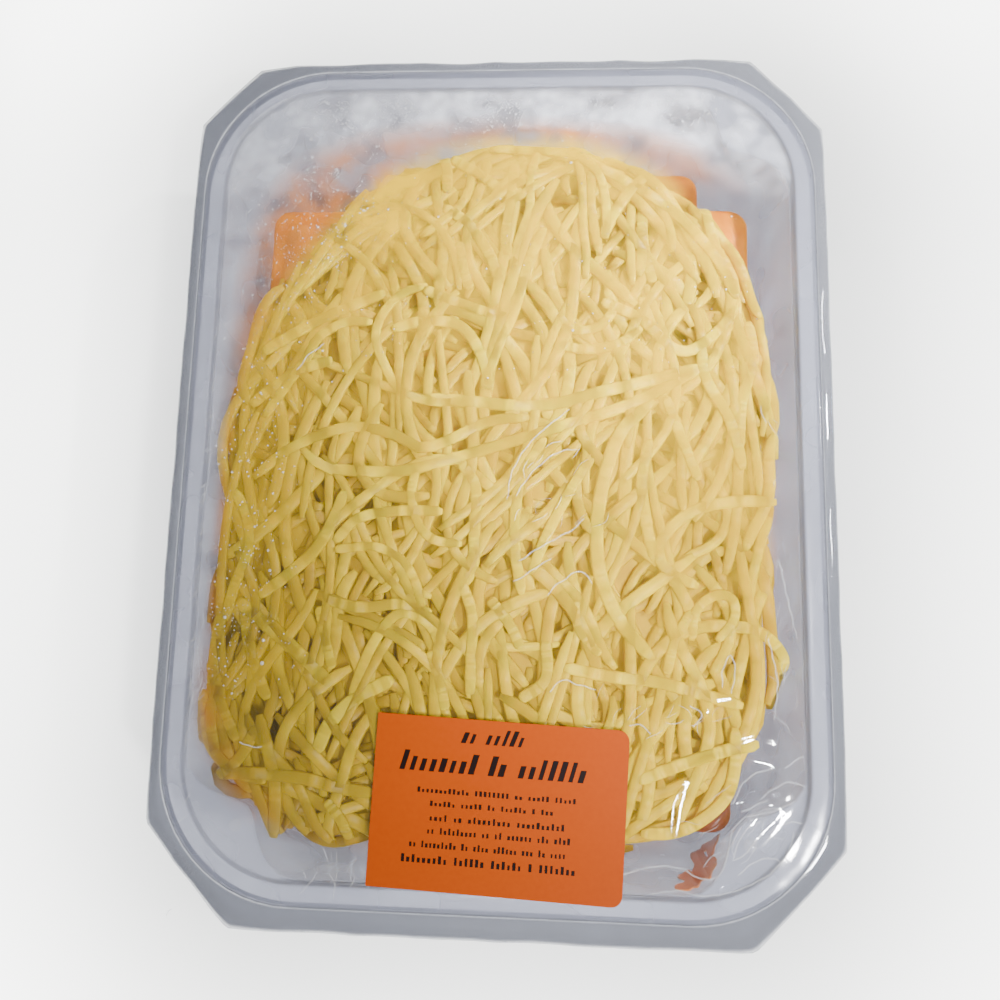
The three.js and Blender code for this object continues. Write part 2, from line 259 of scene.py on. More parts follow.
def copies_joined(name, points, faces):
    """One smooth mesh from joined copies. points is in mm."""
    mesh = bpy.data.meshes.new(name)
    mesh.from_pydata(points * MM, [], faces)
    mesh.polygons.foreach_set("use_smooth", np.ones(len(faces), bool))
    return mesh


def note(piece, name, values):
    """Keeps a number for each point of a piece, for its finish to read."""
    piece.data.attributes.new(name, "FLOAT", "POINT").data.foreach_set("value", np.asarray(values, float))


def points_of(piece):
    """The points of a piece as rows of x, y and z in mm."""
    flat = np.empty(len(piece.data.vertices) * 3)
    piece.data.vertices.foreach_get("co", flat)
    return flat.reshape(-1, 3) / MM


def walled(piece, thickness_mm):
    """Gives an open sheet its wall, on the side away from its faces."""
    wall = piece.modifiers.new("wall", "SOLIDIFY")
    wall.thickness = thickness_mm * MM
    wall.offset = -1
    return piece


def dress(piece, look, slot, *nodes):
    """Puts a finish on a piece, rides it on the dish and hides the imported nodes that it stands for."""
    piece.data.materials.clear()
    piece.data.materials.append(look)
    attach(piece, "root")
    if nodes:
        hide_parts(*nodes)
    return piece


print("a ring of the rim has", len(ring(81, 108, 34)), "points")

# %% [markdown]
# **The tray** is one sheet of clear polyester, heated and drawn into a mould. Its rim is a flat flange with
# a lip turned down. Inside the flange the sheet steps down a little, and a lug comes in over each corner.
# The walls lean out, so that empty trays nest. It is drawn here as one sheet from the middle of its base
# out to the lip, in the order the plastic runs, and the wall is then given its thickness.

# %% The tray's sheet
RIM_X, RIM_Y, RIM_Z, RIM_RADIUS = 81.0, 108.0, 42.0, 34.0
FLANGE = 5.5
STEP = 0.7
SHELF_Z = 40.5
LUG_DEPTH = 11.3
LUG_FOOT = 20.0
DRAFT = 0.14
BASE_CURVE = 6.0
FOOT_WIDTH = 7.0
PANEL_RISE = 1.0
WALL = 0.8
SHEET_WALL = 0.6
LIP_SEEN, STEP_SEEN = 0.9, 0.5
INNER_X, INNER_Y, INNER_RADIUS = RIM_X - FLANGE, RIM_Y - FLANGE, RIM_RADIUS - FLANGE


def lug_at(height):
    """How far the corners' lugs come in at a height."""
    share = np.clip((height - LUG_FOOT) / (SHELF_Z - LUG_FOOT), 0, 1)
    return LUG_DEPTH * share ** 0.7


def inside(height, inset=0.0, lug=None):
    """The tray's inner wall at a height, as a ring of (x, y)."""
    inward = STEP + DRAFT * (SHELF_Z - height) + inset
    depth = lug_at(height) if lug is None else lug
    return ring(INNER_X - inward, INNER_Y - inward, INNER_RADIUS - inward, depth)


def rim_ring(inward, **steps):
    """A ring at a distance in from the rim's outer edge."""
    return ring(RIM_X - inward, RIM_Y - inward, RIM_RADIUS - inward, **steps)


def past_rim(x, y):
    """How far outside the rim's outer edge a point is. It is below zero inside."""
    corner = np.maximum(np.abs(np.column_stack([x, y])) - (RIM_X - RIM_RADIUS, RIM_Y - RIM_RADIUS), 0)
    return np.hypot(*corner.T) - RIM_RADIUS


foot_edge = BASE_CURVE + FOOT_WIDTH
floor_rings = [
    at_height(inside(0, foot_edge + 26, 0), PANEL_RISE + WALL),
    *[at_height(inside(0, foot_edge + out, 0), WALL + PANEL_RISE * (1 + out) / 2)
      for out in (1.0, 0.4, -0.4, -1.0)],
    at_height(inside(0, BASE_CURVE, 0), WALL),
]
curve_rings = []
for turn in np.radians([22, 45, 68]):
    rise = (BASE_CURVE - WALL) * (1 - math.cos(turn)) + WALL
    curve_rings.append(at_height(inside(rise, BASE_CURVE * (1 - math.sin(turn)) * 0.95, 0), rise))
wall_rings = [at_height(inside(z), z) for z in (6, 12, 18, 22, 26, 30, 34, 37, 39, 39.8)]
shelf_rings = [
    at_height(inside(40.2, 0.0, LUG_DEPTH), 40.25),
    at_height(inside(SHELF_Z, -0.35, LUG_DEPTH - 0.25), SHELF_Z),
    at_height(ring(INNER_X - 0.5, INNER_Y - 0.5, INNER_RADIUS - 0.5), SHELF_Z),
    at_height(ring(INNER_X - 0.12, INNER_Y - 0.12, INNER_RADIUS - 0.12), SHELF_Z + 0.25),
    at_height(rim_ring(FLANGE), RIM_Z - 0.35),
    at_height(rim_ring(FLANGE - 0.3), RIM_Z - 0.06),
]
lip_rings = [at_height(rim_ring(inward), RIM_Z - drop)
             for inward, drop in ((FLANGE - 0.8, 0), (1.0, 0), (0.35, 0.15), (0.05, 0.6), (0.0, 2.6))]
tray = sheet_through("tray_sheet", [
    pole(0, 0, PANEL_RISE + WALL, floor_rings[0]),
    *floor_rings, *curve_rings, *wall_rings, *shelf_rings, *lip_rings], close=False)
walled(tray, SHEET_WALL)
x, y, z = points_of(tray).T
past = past_rim(x, y)
at_lip = np.clip(1 + past / LIP_SEEN, 0, 1)
at_step = np.clip(1 - np.abs(past + FLANGE + 0.1) / STEP_SEEN, 0, 1) * (z > SHELF_Z)
# Where the tray's finish is painted darker: painted shade along the lip and the step
note(tray, "edge", np.maximum(at_lip, 0.7 * at_step))
print("tray faces:", len(tray.data.polygons), "first normal up:", tray.data.polygons[0].normal.z > 0)

# %% [markdown]
# A low round button stands on each lug, where the mould was vented. Each is a flattened ball, half sunk in
# the sheet.

# %% Marks of the mould
MARKS = [(-61.9, 90.1, 2.2), (61.2, 90.9, 1.6), (-61.5, -90.0, 1.6), (61.5, -90.0, 1.6)]
MARK_FLATNESS = 0.28
bm = bmesh.new()
for x, y, reach in MARKS:
    for v in bmesh.ops.create_uvsphere(bm, u_segments=24, v_segments=12, radius=reach * MM)["verts"]:
        v.co = Vector((v.co.x, v.co.y, v.co.z * MARK_FLATNESS)) + Vector((x, y, SHELF_Z + 0.05)) * MM
buttons = finished("mould_marks", bm)
print("marks:", len(MARKS))

# %% [markdown]
# Clear polyester (A-PET), thermoformed. It isn't coloured; its skin is glossy, a faint lavender grey, with a
# slight haze where it was stretched. Along the lip and the step the grey is painted darker and less clear:
# painted shade of the lip and the step. A see-through share mixed with a glossy pale surface shows that at
# once and costs no refraction.

# %% Clear thermoformed polyester
clear_polyester, tree = material("clear_polyester_thermoformed")
haze = ranged(tree, noise(tree, 14, 1.0), 0.3, 0.7, 0.36, 0.5)
edge = noted(tree, "edge")
# Painted shade: the skin is darker and less clear along the lip and the step
glossy_skin = skin(tree, tinted(tree, edge, linear("#A4A7B5"), linear("#6E7280")), 0.14, IOR=1.57,
                   Normal=relief(tree, noise(tree, 5), 0.25, 0.4))
solid_share = maths(tree, "MULTIPLY_ADD", edge, 0.3, haze)
show(tree, shared(tree, solid_share, clear(tree, linear("#E2E3EA")), glossy_skin))
dress(tray, clear_polyester, "clear_plastic", "tray")
print("finish:", clear_polyester.name)

# %% [markdown]
# **The ravioli** are pillows of pasta: two sheets pressed together round a flat border, with the filling
# humped up between them. Each is drawn through rounded squares from its top to its foot, and then pushed
# about a little, because no two fill alike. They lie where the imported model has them.

# %% Fourteen pillows
RAVIOLI = sorted(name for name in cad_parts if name.startswith("ravioli_"))
PROFILE = [(0.02, 11.3), (0.16, 11.2), (0.34, 10.7), (0.48, 9.9), (0.6, 8.7), (0.69, 7.2), (0.76, 5.9),
           (0.82, 5.1), (0.93, 4.9), (0.985, 4.6), (1.0, 3.9), (0.985, 3.0), (0.9, 2.6), (0.76, 2.3),
           (0.6, 0.9), (0.4, 0.25), (0.02, 0.2)]
pillows = {}


def swell(x, y, scale, seed):
    """A smooth uneven height from three crossing waves, from about -1 to 1."""
    a = np.sin(x / scale + seed * 1.7) * np.cos(y / scale * 1.13 + seed * 2.3)
    b = np.sin((x * 0.6 + y * 0.8) / scale * 1.9 + seed * 3.1)
    c = np.cos((x * 0.7 - y * 0.7) / scale * 3.1 + seed)
    return 0.5 * a + 0.3 * b + 0.2 * c


for index, node in enumerate(RAVIOLI):
    low, high = (np.array(corner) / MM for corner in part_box(node))
    middle = (low + high) / 2
    half = (high[0] - low[0]) / 2 - 0.35
    rows = []
    for reach, height in PROFILE:
        corner = min(5.0, half * reach * 0.55 + 0.02)
        points = ring(half * reach, half * reach, corner, corner=6, side=(8, 8))
        border = np.clip((reach - 0.8) / 0.15, 0, 1)
        wave = 0.45 * border * swell(points[:, 0], points[:, 1], 5.5, index)
        hump = 0.5 * (1 - border) * swell(points[:, 0], points[:, 1], 9.0, index + 5)
        pull = 1 + 0.012 * swell(points[:, 1], points[:, 0], 8.0, index + 9)
        z = np.clip(low[2] + height + wave + hump, low[2], high[2])
        rows.append(at_height(middle[:2] + points * pull[:, None], z))
    rows = [pole(*rows[0].mean(0), rows[0]), *rows, pole(*rows[-1].mean(0), rows[-1])]
    pillows[node] = sheet_through(node.replace("ravioli", "pillow"), rows)
print("pillows:", len(pillows), "faces each:", len(pillows[RAVIOLI[0]].data.polygons))

# %% [markdown]
# Boiled egg pasta is a pale straw yellow, slightly see-through and wet. Tomato sauce has soaked into it in
# blotches and lies orange in the hollows. A large noise says where the sauce lies, a fine one roughens it.

# %% Boiled pasta under sauce
boiled_pasta, tree = material("boiled_egg_pasta_in_sauce")
stain = shades(tree, noise(tree, 16, 4.0, 0.6), (0.36, "#D46A00"), (0.6, "#FC9C00"))
rough = relief(tree, noise(tree, 1.4, 3.0), 0.35, 0.3)
show(tree, skin(tree, stain, 0.38, Specular_IOR_Level=0.3, Normal=rough,
                Subsurface_Weight=0.15, Subsurface_Radius=(1.0, 0.55, 0.3), Subsurface_Scale=1.2 * MM))
for node, pillow in pillows.items():
    dress(pillow, boiled_pasta, "pasta", node)
print("finish:", boiled_pasta.name)

# %% [markdown]
# **The sauce** fills the tray round and under the ravioli, with the lower pasta sunk in it, and its far end
# lies lower. Its top is lumpy with tomato and oil. It is drawn through rings that follow the tray's wall.

# %% The sauce bed
BED_HIGH, BED_LOW, BED_EDGE_Y = 24.0, 12.0, 48.0


def bed_top(x, y):
    """The sauce's level: high under the top layer of ravioli, lower past the far edge of it."""
    fall = np.clip((y - BED_EDGE_Y + 1) / 4, 0, 1)
    level = BED_HIGH + (BED_LOW - BED_HIGH) * fall * fall * (3 - 2 * fall)
    return level - 0.7 + 0.5 * swell(x, y, 6.0, 3)


BED_CORNER, BED_INSET, BED_FOOT, BED_FOOT_INSET = 54.0, 6.7, 2.2, 15
bed_edge = ring(INNER_X - BED_INSET, INNER_Y - BED_INSET, BED_CORNER)
rows = []
for share in (0.12, 0.24, 0.36, 0.46, 0.5, 0.54, 0.6, 0.68, 0.76, 0.84, 0.92, 0.97, 1.0):
    outline = bed_edge * share
    rows.append(at_height(outline, bed_top(outline[:, 0], outline[:, 1]) - (0.6 if share == 1.0 else 0.0)))
rows = [pole(0, 0, bed_top(0.0, 0.0), rows[0]), *rows]
for depth in (0.15, 0.4, 0.7, 0.95):
    level = bed_top(bed_edge[:, 0], bed_edge[:, 1])
    z = level + (BED_FOOT - level) * depth
    outward = np.where(z > 6, DRAFT * (z - 12), DRAFT * -6 - (6 - z) * 1.15)
    rows.append(at_height(bed_edge * (1 + outward / 85)[:, None], z))
foot = ring(INNER_X - BED_FOOT_INSET, INNER_Y - BED_FOOT_INSET, BED_CORNER - 8)
rows += [at_height(foot, BED_FOOT), pole(0, 0, BED_FOOT, rows[0])]
sauce = sheet_through("sauce_bed_mass", rows)
print("sauce faces:", len(sauce.data.polygons))

# %% [markdown]
# Tomato sauce with oil and cream: orange rather than red, wet, with paler clots. Through the film it reads
# as a soft orange. Smeared thin up the wall, it lets half of the light through.

# %% Creamed tomato sauce
tomato_sauce, tree = material("creamed_tomato_sauce_cooked")
clots = noise(tree, 6, 5.0, 0.65)
mash = shades(tree, clots, (0.35, "#B8560A"), (0.68, "#DC8824"))
show(tree, skin(tree, mash, 0.28, IOR=1.45, Normal=relief(tree, clots, 0.6, 1.0)))
dress(sauce, tomato_sauce, "tomato_sauce", "sauce_bed")

# The same sauce, smeared thin: half see-through, and painted a lighter orange than the sauce, as painted
# light against the shade on the wall
thin_sauce, tree = material("tomato_sauce_smeared_thin")
show(tree, shared(tree, 0.5, clear(tree, linear("#FFF4E4")), skin(tree, linear("#F08A28"), 0.3)))

# Where the sauce was slopped up the wall: middle and reach along the wall's rings, and in height
SMEARS = [(70.0, 1.0, 32, 8.0), (68.6, 0.8, 36, 4.0), (71.6, 1.1, 26, 5.0)]
for index, (along_middle, along_reach, middle, reach) in enumerate(SMEARS):
    bm = bmesh.new()
    bmesh.ops.create_grid(bm, x_segments=28, y_segments=20, size=1)
    for v in bm.verts:
        u, w = v.co.x * math.sqrt(1 - v.co.y ** 2 / 2), v.co.y * math.sqrt(1 - v.co.x ** 2 / 2)
        turn = math.atan2(w, u)
        uneven = 1 + 0.22 * math.sin(3 * turn + index) + 0.14 * math.sin(5 * turn + 2 * index)
        along, height = along_middle + u * along_reach * uneven, min(middle + w * reach * uneven, 40.0)
        wall = inside(height, 0.9)
        k = int(along)
        x, y = wall[k] + (along - k) * (wall[k + 1] - wall[k])
        v.co = Vector((x, y, height)) * MM
    bmesh.ops.remove_doubles(bm, verts=bm.verts, dist=1e-6)
    smear = walled(finished(f"sauce_smear_{index}", bm), 0.4)
    dress(smear, thin_sauce, "tomato_sauce")
print("finish:", tomato_sauce.name)

# %% [markdown]
# **The film** is welded to the flange and bulges over the heap. The heap has to stay under it, so its
# height is settled here, before the cheese is laid.

# %% The film's height
FILM_GAP, FILM_BULGE = 0.1, 2.8


def film_under(x, y):
    """The lowest level of the film over a point, before its creases."""
    across = np.clip(1 - (np.asarray(x) / INNER_X) ** 2, 0, 1)
    along = np.clip(1 - (np.asarray(y) / INNER_Y) ** 2, 0, 1)
    return RIM_Z + FILM_GAP + FILM_BULGE * across * along


print("film over the middle (mm):", round(float(film_under(0, 0)), 2))

# %% [markdown]
# The heap's outline is uneven and its far corners are bare. A point's share runs from 0 in the middle of
# the heap to 1 at its edge. Strands may hang a little past it, as long as they clear the tray's wall.

# %% The heap's outline
HEAP_X, HEAP_Y = 69.3, 93.5
HEAP_MIDDLE_X, HEAP_MIDDLE_Y = -1.0, -2.5
HEAP_LEAN = 0.02
HEAP_BULGE = 4.0
HEAP_CUTS = [(140, 77), (36, 83), (-45, 103), (225, 116)]


def heap_share(x, y):
    """How far out over the heap a point is, from 0 in the middle to 1 at its edge."""
    bulge = np.where(x < 0, HEAP_BULGE * np.exp(-((y + 64) / 20) ** 2), 0)
    across, along = (x - HEAP_MIDDLE_X - HEAP_LEAN * y + bulge) / HEAP_X, (y - HEAP_MIDDLE_Y) / HEAP_Y
    total = np.abs(across) ** 8 + np.abs(along) ** 8
    for degrees, reach in HEAP_CUTS:
        angle = math.radians(degrees)
        total = total + (np.maximum(0, x * math.cos(angle) + y * math.sin(angle)) / reach) ** 8
    return total ** (1 / 8)


print("share at the near left corner:", round(float(heap_share(-58, -84)), 2))

# %% [markdown]
# Below the strands that can be seen lies a dense mass of broken ones, and it fills the step down to the
# lower ravioli at the far end. It is drawn as one low mound through rings of equal share, and sinks away
# in a few hollows where ravioli and sauce look through.

# %% The mass under the strands
HEAP_BASE = 36.1
MASS_FOOT = HEAP_BASE - 3.0
MASS_SHARE = 0.98
HOLLOW_DEPTH = 6.0
HOLLOWS = [(40, 8, 6), (29, 9, 4), (18, 1, 4), (-31, -14, 5), (-46, -10, 4), (-14, -25, 4), (-40, -41, 6),
           (-58, -60, 5), (-20, -36, 3), (52, 22, 4), (46, 62, 5), (45, 36, 5), (14, 38, 4), (24, -50, 5),
           (13, -43, 4), (50, -62, 5), (44, -80, 6), (-54, -66, 5), (-27, -47, 4), (34, -8, 4), (56, -22, 4)]


def mass_top(x, y):
    """The level of the mass: a low mound, uneven, with hollows."""
    fall = np.clip(1 - heap_share(x, y) ** 3, 0, 1)
    level = HEAP_BASE + 1.2 + 4.6 * fall ** 0.6 + 0.5 * fall * swell(x, y, 7.0, 2)
    for hollow_x, hollow_y, reach in HOLLOWS:
        gap = np.hypot(x - hollow_x, y - hollow_y) / reach
        level = level - HOLLOW_DEPTH * np.exp(-gap ** 3)
    return level


def share_ring(share, columns=180):
    """The points (x, y) where the heap's share reaches a value."""
    angle = np.linspace(0, 2 * math.pi, columns, endpoint=False)
    reach = np.full(columns, 60.0)
    for _ in range(25):
        x, y = HEAP_MIDDLE_X + reach * np.cos(angle), HEAP_MIDDLE_Y + reach * np.sin(angle)
        reach = reach * share / heap_share(x, y)
    return np.column_stack([HEAP_MIDDLE_X + reach * np.cos(angle), HEAP_MIDDLE_Y + reach * np.sin(angle)])


rows = []
for share in (*np.linspace(0.06, 0.95, 32), MASS_SHARE):
    outline = share_ring(share)
    rows.append(at_height(outline, mass_top(*outline.T)))
rows.append(at_height(share_ring(MASS_SHARE - 0.02), MASS_FOOT))
top, bottom = rows[0].mean(0), (HEAP_MIDDLE_X, HEAP_MIDDLE_Y, MASS_FOOT)
rows = [pole(HEAP_MIDDLE_X, HEAP_MIDDLE_Y, float(top[2]), rows[0]), *rows, pole(*bottom, rows[0])]
mass = sheet_through("strand_mass", rows)
x, y, _ = points_of(mass).T
# The mass is given low tones, darker than the strands over it: painted shade under them, with some of the
# sauce's colour
note(mass, "tone", 0.1 + 0.2 * swell(x, y, 3.5, 6))
print("mass faces:", len(mass.data.polygons))

# %% [markdown]
# **The cheese** fell on the ravioli strand by strand, and it is laid the same way here. A map of squares
# holds the level of what lies there already. Each strand rests on the high places under it, sags between
# them, and raises the map. Strands from a coarse grater are flat bars with soft edges, 2.5 to 3.5 mm wide.

# %% The level map
CELL = 0.8
MAP_X, MAP_Y = 80.0, 106.0
grid_x = np.arange(-MAP_X, MAP_X + CELL, CELL)
grid_y = np.arange(-MAP_Y, MAP_Y + CELL, CELL)
map_x, map_y = np.meshgrid(grid_x, grid_y, indexing="ij")
mass_level = np.where(heap_share(map_x, map_y) < MASS_SHARE, mass_top(map_x, map_y), 0)
levels = np.maximum(bed_top(map_x, map_y), mass_level)
for node in RAVIOLI:
    low, high = (np.array(corner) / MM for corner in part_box(node))
    middle, half = (low + high) / 2, (high[0] - low[0]) / 2
    u = np.abs(grid_x - middle[0])[:, None] / half
    v = np.abs(grid_y - middle[1])[None, :] / half
    reach = (u ** 6 + v ** 6) ** (1 / 6)
    hump = low[2] + np.interp(reach, [0.02, 0.34, 0.6, 0.76, 0.82, 0.99], [11.3, 10.7, 8.7, 5.9, 5.1, 4.8])
    levels = np.maximum(levels, np.where(reach < 1, hump, 0))


def cells(x, y):
    """Which squares of the map points lie in."""
    i = np.clip(np.round((x + MAP_X) / CELL).astype(int), 0, len(grid_x) - 1)
    j = np.clip(np.round((y + MAP_Y) / CELL).astype(int), 0, len(grid_y) - 1)
    return i, j


print("map:", levels.shape, "levels from", round(float(levels.min()), 1), "to", round(float(levels.max()), 1))

# %% [markdown]
# Laying one strand: its path in plan is given, the width across it is felt for the highest place, and the
# strand is bent over that. It is stiff, so it bridges narrow gaps. The film holds it down from above.

# %% Laying a strand
SINK = 0.3
FILM_CLEAR = 0.3
laid = {"low": [], "high": [], "top": []}
STATIONS = {"low": 9, "high": 15, "top": 22}


def lay(kind, path, width, thickness, tone, sag=0.1):
    """Lays a strand along (x, y) points, and keeps its centre line, sides, width, thickness and tone."""
    step = np.gradient(path, axis=0)
    step /= np.linalg.norm(step, axis=1)[:, None]
    side = np.column_stack([-step[:, 1], step[:, 0]])
    feel = np.stack([path + side * width * f for f in (-0.42, -0.2, 0.0, 0.2, 0.42)])
    bottom = levels[cells(feel[..., 0], feel[..., 1])].max(0) - SINK
    for _ in range(14):
        bridge = (bottom[:-2] + bottom[2:]) / 2 - sag
        bottom[1:-1] = np.maximum(bottom[1:-1], bridge)
    for _ in range(3):
        bottom[1:-1] = 0.25 * bottom[:-2] + 0.5 * bottom[1:-1] + 0.25 * bottom[2:]
    bottom = np.minimum(bottom, film_under(path[:, 0], path[:, 1]) - FILM_CLEAR - thickness)
    fine = np.linspace(0, len(path) - 1, len(path) * 6)
    whole = np.arange(len(path))
    for f in (-0.45, -0.22, 0.0, 0.22, 0.45):
        x = np.interp(fine, whole, path[:, 0] + side[:, 0] * width * f)
        y = np.interp(fine, whole, path[:, 1] + side[:, 1] * width * f)
        np.maximum.at(levels, cells(x, y), np.interp(fine, whole, bottom) + thickness)
    laid[kind].append((np.column_stack([path, bottom]), side, width, thickness, tone))


def arc_path(kind, x, y, chord, length, bend, wag):
    """(x, y) points of a curved strand whose middle is near x, y and whose ends lie along chord."""
    share = np.linspace(0, 1, STATIONS[kind])
    heading = chord + bend * (share - 0.5) + wag * np.sin(2 * math.pi * share)
    step = length / (STATIONS[kind] - 1)
    moved = np.cumsum(np.column_stack([np.cos(heading), np.sin(heading)]) * step, axis=0)
    return moved - moved.mean(0) + np.array([x, y])


ROOM_X, ROOM_Y, ROOM_RADIUS, ROOM_LUG = 74.0, 101.0, 27.0, 10.0


def in_tray(path, margin):
    """True if a path clears the tray's wall, lugs and all."""
    x, y = np.abs(path[:, 0]), np.abs(path[:, 1])
    past_x, past_y = np.maximum(x - ROOM_X + ROOM_RADIUS, 0), np.maximum(y - ROOM_Y + ROOM_RADIUS, 0)
    lug = ROOM_LUG * np.sin(2 * np.arctan2(past_y, past_x + 1e-9)) ** 2
    in_corner = np.hypot(past_x, past_y) < ROOM_RADIUS - lug - margin
    return bool(((x < ROOM_X - margin) & (y < ROOM_Y - margin) & in_corner).all())


print("points along a strand:", STATIONS)

# %% [markdown]
# Several hundred strands fall first, spread evenly over the heap by a low-discrepancy rule and turned by a
# seeded draw. The first are short and broken, the later ones long. Most lie lengthways, as they came off
# the grater and were shaken out.

# %% The fallen strands
rng = np.random.default_rng(27)
# Kind, how many are tried and wanted, their shortest and longest, and the strays of their lie and bend
FALLS = [("low", 1500, 430, (15, 42), 0.75, 0.9), ("high", 2400, 400, (28, 80), 0.5, 1.1)]
ROOM_KEPT = {"low": 1.2, "high": 0.1}
# Lower layers get lower tones, so they come out darker: painted shade of depth, with some of the sauce's
# colour
TONES = {"low": -0.1, "high": 0.3}
# Steps round the heap that never fall into line with each other
STEP_ACROSS, STEP_ALONG = 0.7549, 0.5698
for kind, tries, wanted, (shortest, longest), spread, curl in FALLS:
    for k in range(tries):
        x = HEAP_MIDDLE_X + 1.03 * HEAP_X * (2 * ((k * STEP_ACROSS) % 1) - 1)
        y = HEAP_MIDDLE_Y + 1.03 * HEAP_Y * (2 * ((k * STEP_ALONG) % 1) - 1)
        chord = math.pi / 2 + rng.normal(0, spread)
        length = rng.uniform(shortest, longest)
        bend, wag = rng.normal(0, curl), rng.normal(0, 0.22)
        width, thickness, tone = rng.uniform(2.3, 3.5), rng.uniform(0.6, 0.9), rng.random()
        path = arc_path(kind, x, y, chord, length, bend, wag)
        share = heap_share(path[:, 0], path[:, 1])
        if share.max() > 1.03 + 0.04 * tone or not in_tray(path, width / 2 + 0.1):
            continue
        room = film_under(path[:, 0], path[:, 1]) - levels[cells(path[:, 0], path[:, 1])]
        if np.percentile(room, 25) < thickness + ROOM_KEPT[kind]:
            continue
        lay(kind, path, width, thickness, TONES[kind] + 0.4 * tone)
        if len(laid[kind]) >= wanted:
            break
print("strands laid:", {kind: len(strands) for kind, strands in laid.items()})

# %% [markdown]
# The topmost strands are the ones that the eye picks out: long bows, hooks and a ring or two, pressed flat
# under the film. These are placed one by one, each through a few points in mm, drawn as a smooth curve.

# %% The strands on top
TOP_STRANDS = [
    [(-7, 15), (-17, 15), (-25, 18), (-29, 24), (-32, 32), (-30, 39), (-25, 44), (-19, 46)],
    [(-28, 34), (-21, 36), (-13, 36), (-8, 33), (-4, 26), (-2, 18)],
    [(-20, 45), (-13, 42), (-5, 39), (3, 37)],
    [(-16, 68), (-10, 64), (-6, 59), (-2, 52), (0, 46)],
    [(3, 81), (2, 70), (1, 59), (2, 53)],
    [(-17, 85), (-15, 78), (-15, 72)],
    [(-14, 82), (-6, 77), (0, 72)],
    [(-11, 58), (-10, 51), (-8, 45)],
    [(-64, 14), (-58, 19), (-52, 23), (-43, 26)],
    [(-60, 11), (-55, 19), (-50, 26), (-47, 32), (-40, 36), (-33, 36)],
    [(-62, 28), (-52, 34), (-42, 39), (-30, 44)],
    [(-4, 86), (9, 85), (19, 83), (25, 77), (27, 68), (27, 59)],
    [(24, 80), (32, 75), (40, 70), (47, 64), (53, 57), (57, 51), (60, 43)],
    [(9, 84), (7, 76), (7, 67), (4, 57), (3, 48)],
    [(53, 73), (53, 66), (55, 57), (59, 49), (60, 43)],
    [(11, 62), (7, 52), (4, 40), (0, 30), (-4, 18)],
    [(60, 41), (56, 35), (48, 29), (42, 31), (38, 37), (36, 43)],
    [(15, 38), (19, 34), (25, 35), (29, 40), (27, 45)],
    [(36, 64), (37, 55), (39, 47)],
    [(-39, -83), (-35, -88), (-34, -93)],
    [(-62, -5), (-55, 1), (-48, 5), (-39, 8), (-32, 8), (-25, 6), (-19, 3), (-12, 5), (-2, 10), (8, 11)],
    [(-20, -2), (-21, -9), (-19, -16), (-15, -20), (-8, -21)],
    [(-40, -21), (-34, -15), (-24, -13), (-13, -13)],
    [(-40, -23), (-30, -22), (-23, -25), (-19, -31), (-17, -39)],
    [(-8, -30), (-5, -38), (-5, -48), (-5, -58)],
    [(-67, -8), (-63, -15), (-62, -23), (-65, -32), (-67, -41)],
    [(-34, -59), (-31, -50), (-27, -42), (-22, -38), (-15, -41), (-12, -48)],
    [(-42, -35), (-33, -37), (-23, -36), (-15, -38)],
    [(-68, -39), (-69, -48), (-69, -60)],
    [(-71, -58), (-71.5, -66), (-70.5, -74)],
    [(-71, -64), (-68, -72), (-62, -77), (-54, -79)],
    [(-67, -54), (-69, -64), (-67, -74)],
    [(-67, -79), (-61, -74), (-57, -66)],
    [(-62, -38), (-60, -48), (-55, -60)],
    [(-43, -37), (-41, -45), (-39, -52)],
    [(-1, -34), (4, -40), (7, -46)],
    [(12, 6), (6, -5), (5, -20), (7, -33)],
    [(24, 2), (18, -8), (13, -18), (9, -28)],
    [(38, 6), (36, -4), (37, -14), (39, -24)],
    [(42, 17), (46, 6), (50, -4)],
    [(69, -9), (60, -9), (50, -11), (43, -16), (40, -22), (43, -27), (50, -30)],
    [(48, -43), (49, -36), (54, -32), (58, -33), (58, -38), (54, -43)],
    [(20, -34), (21, -41), (26, -47)],
    [(48, -36), (44, -43), (42, -51)],
    [(-70, -51), (-67, -60), (-62, -70)],
    [(-71, -78.5), (-60, -77.5), (-46, -78), (-36, -80), (-27, -81)],
    [(35, -76), (45, -72), (57, -68), (64, -67)],
    [(58, -63), (58, -71), (56, -79), (50, -85), (43, -88), (36, -88)],
    [(58, -39), (65, -41), (70, -46), (72, -54), (71.5, -61)],
    [(13, -44), (13, -53), (7, -58)],
    [(15, 30), (23, 29), (31, 31), (36, 35)],
    [(26, 42), (36, 37), (42, 31)],
    [(51, 31), (52, 22), (58, 11), (61, -1)],
    [(63, 37), (64, 27), (61, 16), (60, 4)],
    [(-15, -47), (-12, -56), (-11, -61)],
]
# The widest and palest ones lie over all the others; their higher tones are the light end of the painted
# shade of depth
BOLD_STRANDS = [
    [(-19, 16), (-7, 15), (6, 14), (16, 15), (26, 18), (38, 21), (51, 25)],
    [(-50, 3), (-44, -2), (-36, -3), (-24, -3), (-12, 0), (1, 4), (16, 9), (31, 14), (43, 20), (52, 25)],
    [(-59, -35), (-51, -29), (-44, -22), (-40, -14), (-38, -8)],
    [(-9, 0), (-5, -7), (-5, -16), (-5, -25), (-7, -31)],
    [(-64, -36), (-56, -42), (-47, -49), (-39, -56)],
    [(39, 16), (31, 8), (27, -3), (25, -16), (26, -28), (31, -39), (39, -48)],
    [(17, -50), (29, -52), (40, -53), (52, -56), (60, -58)],
    [(-24, -54), (-33, -59), (-39, -65), (-42, -72)],
]


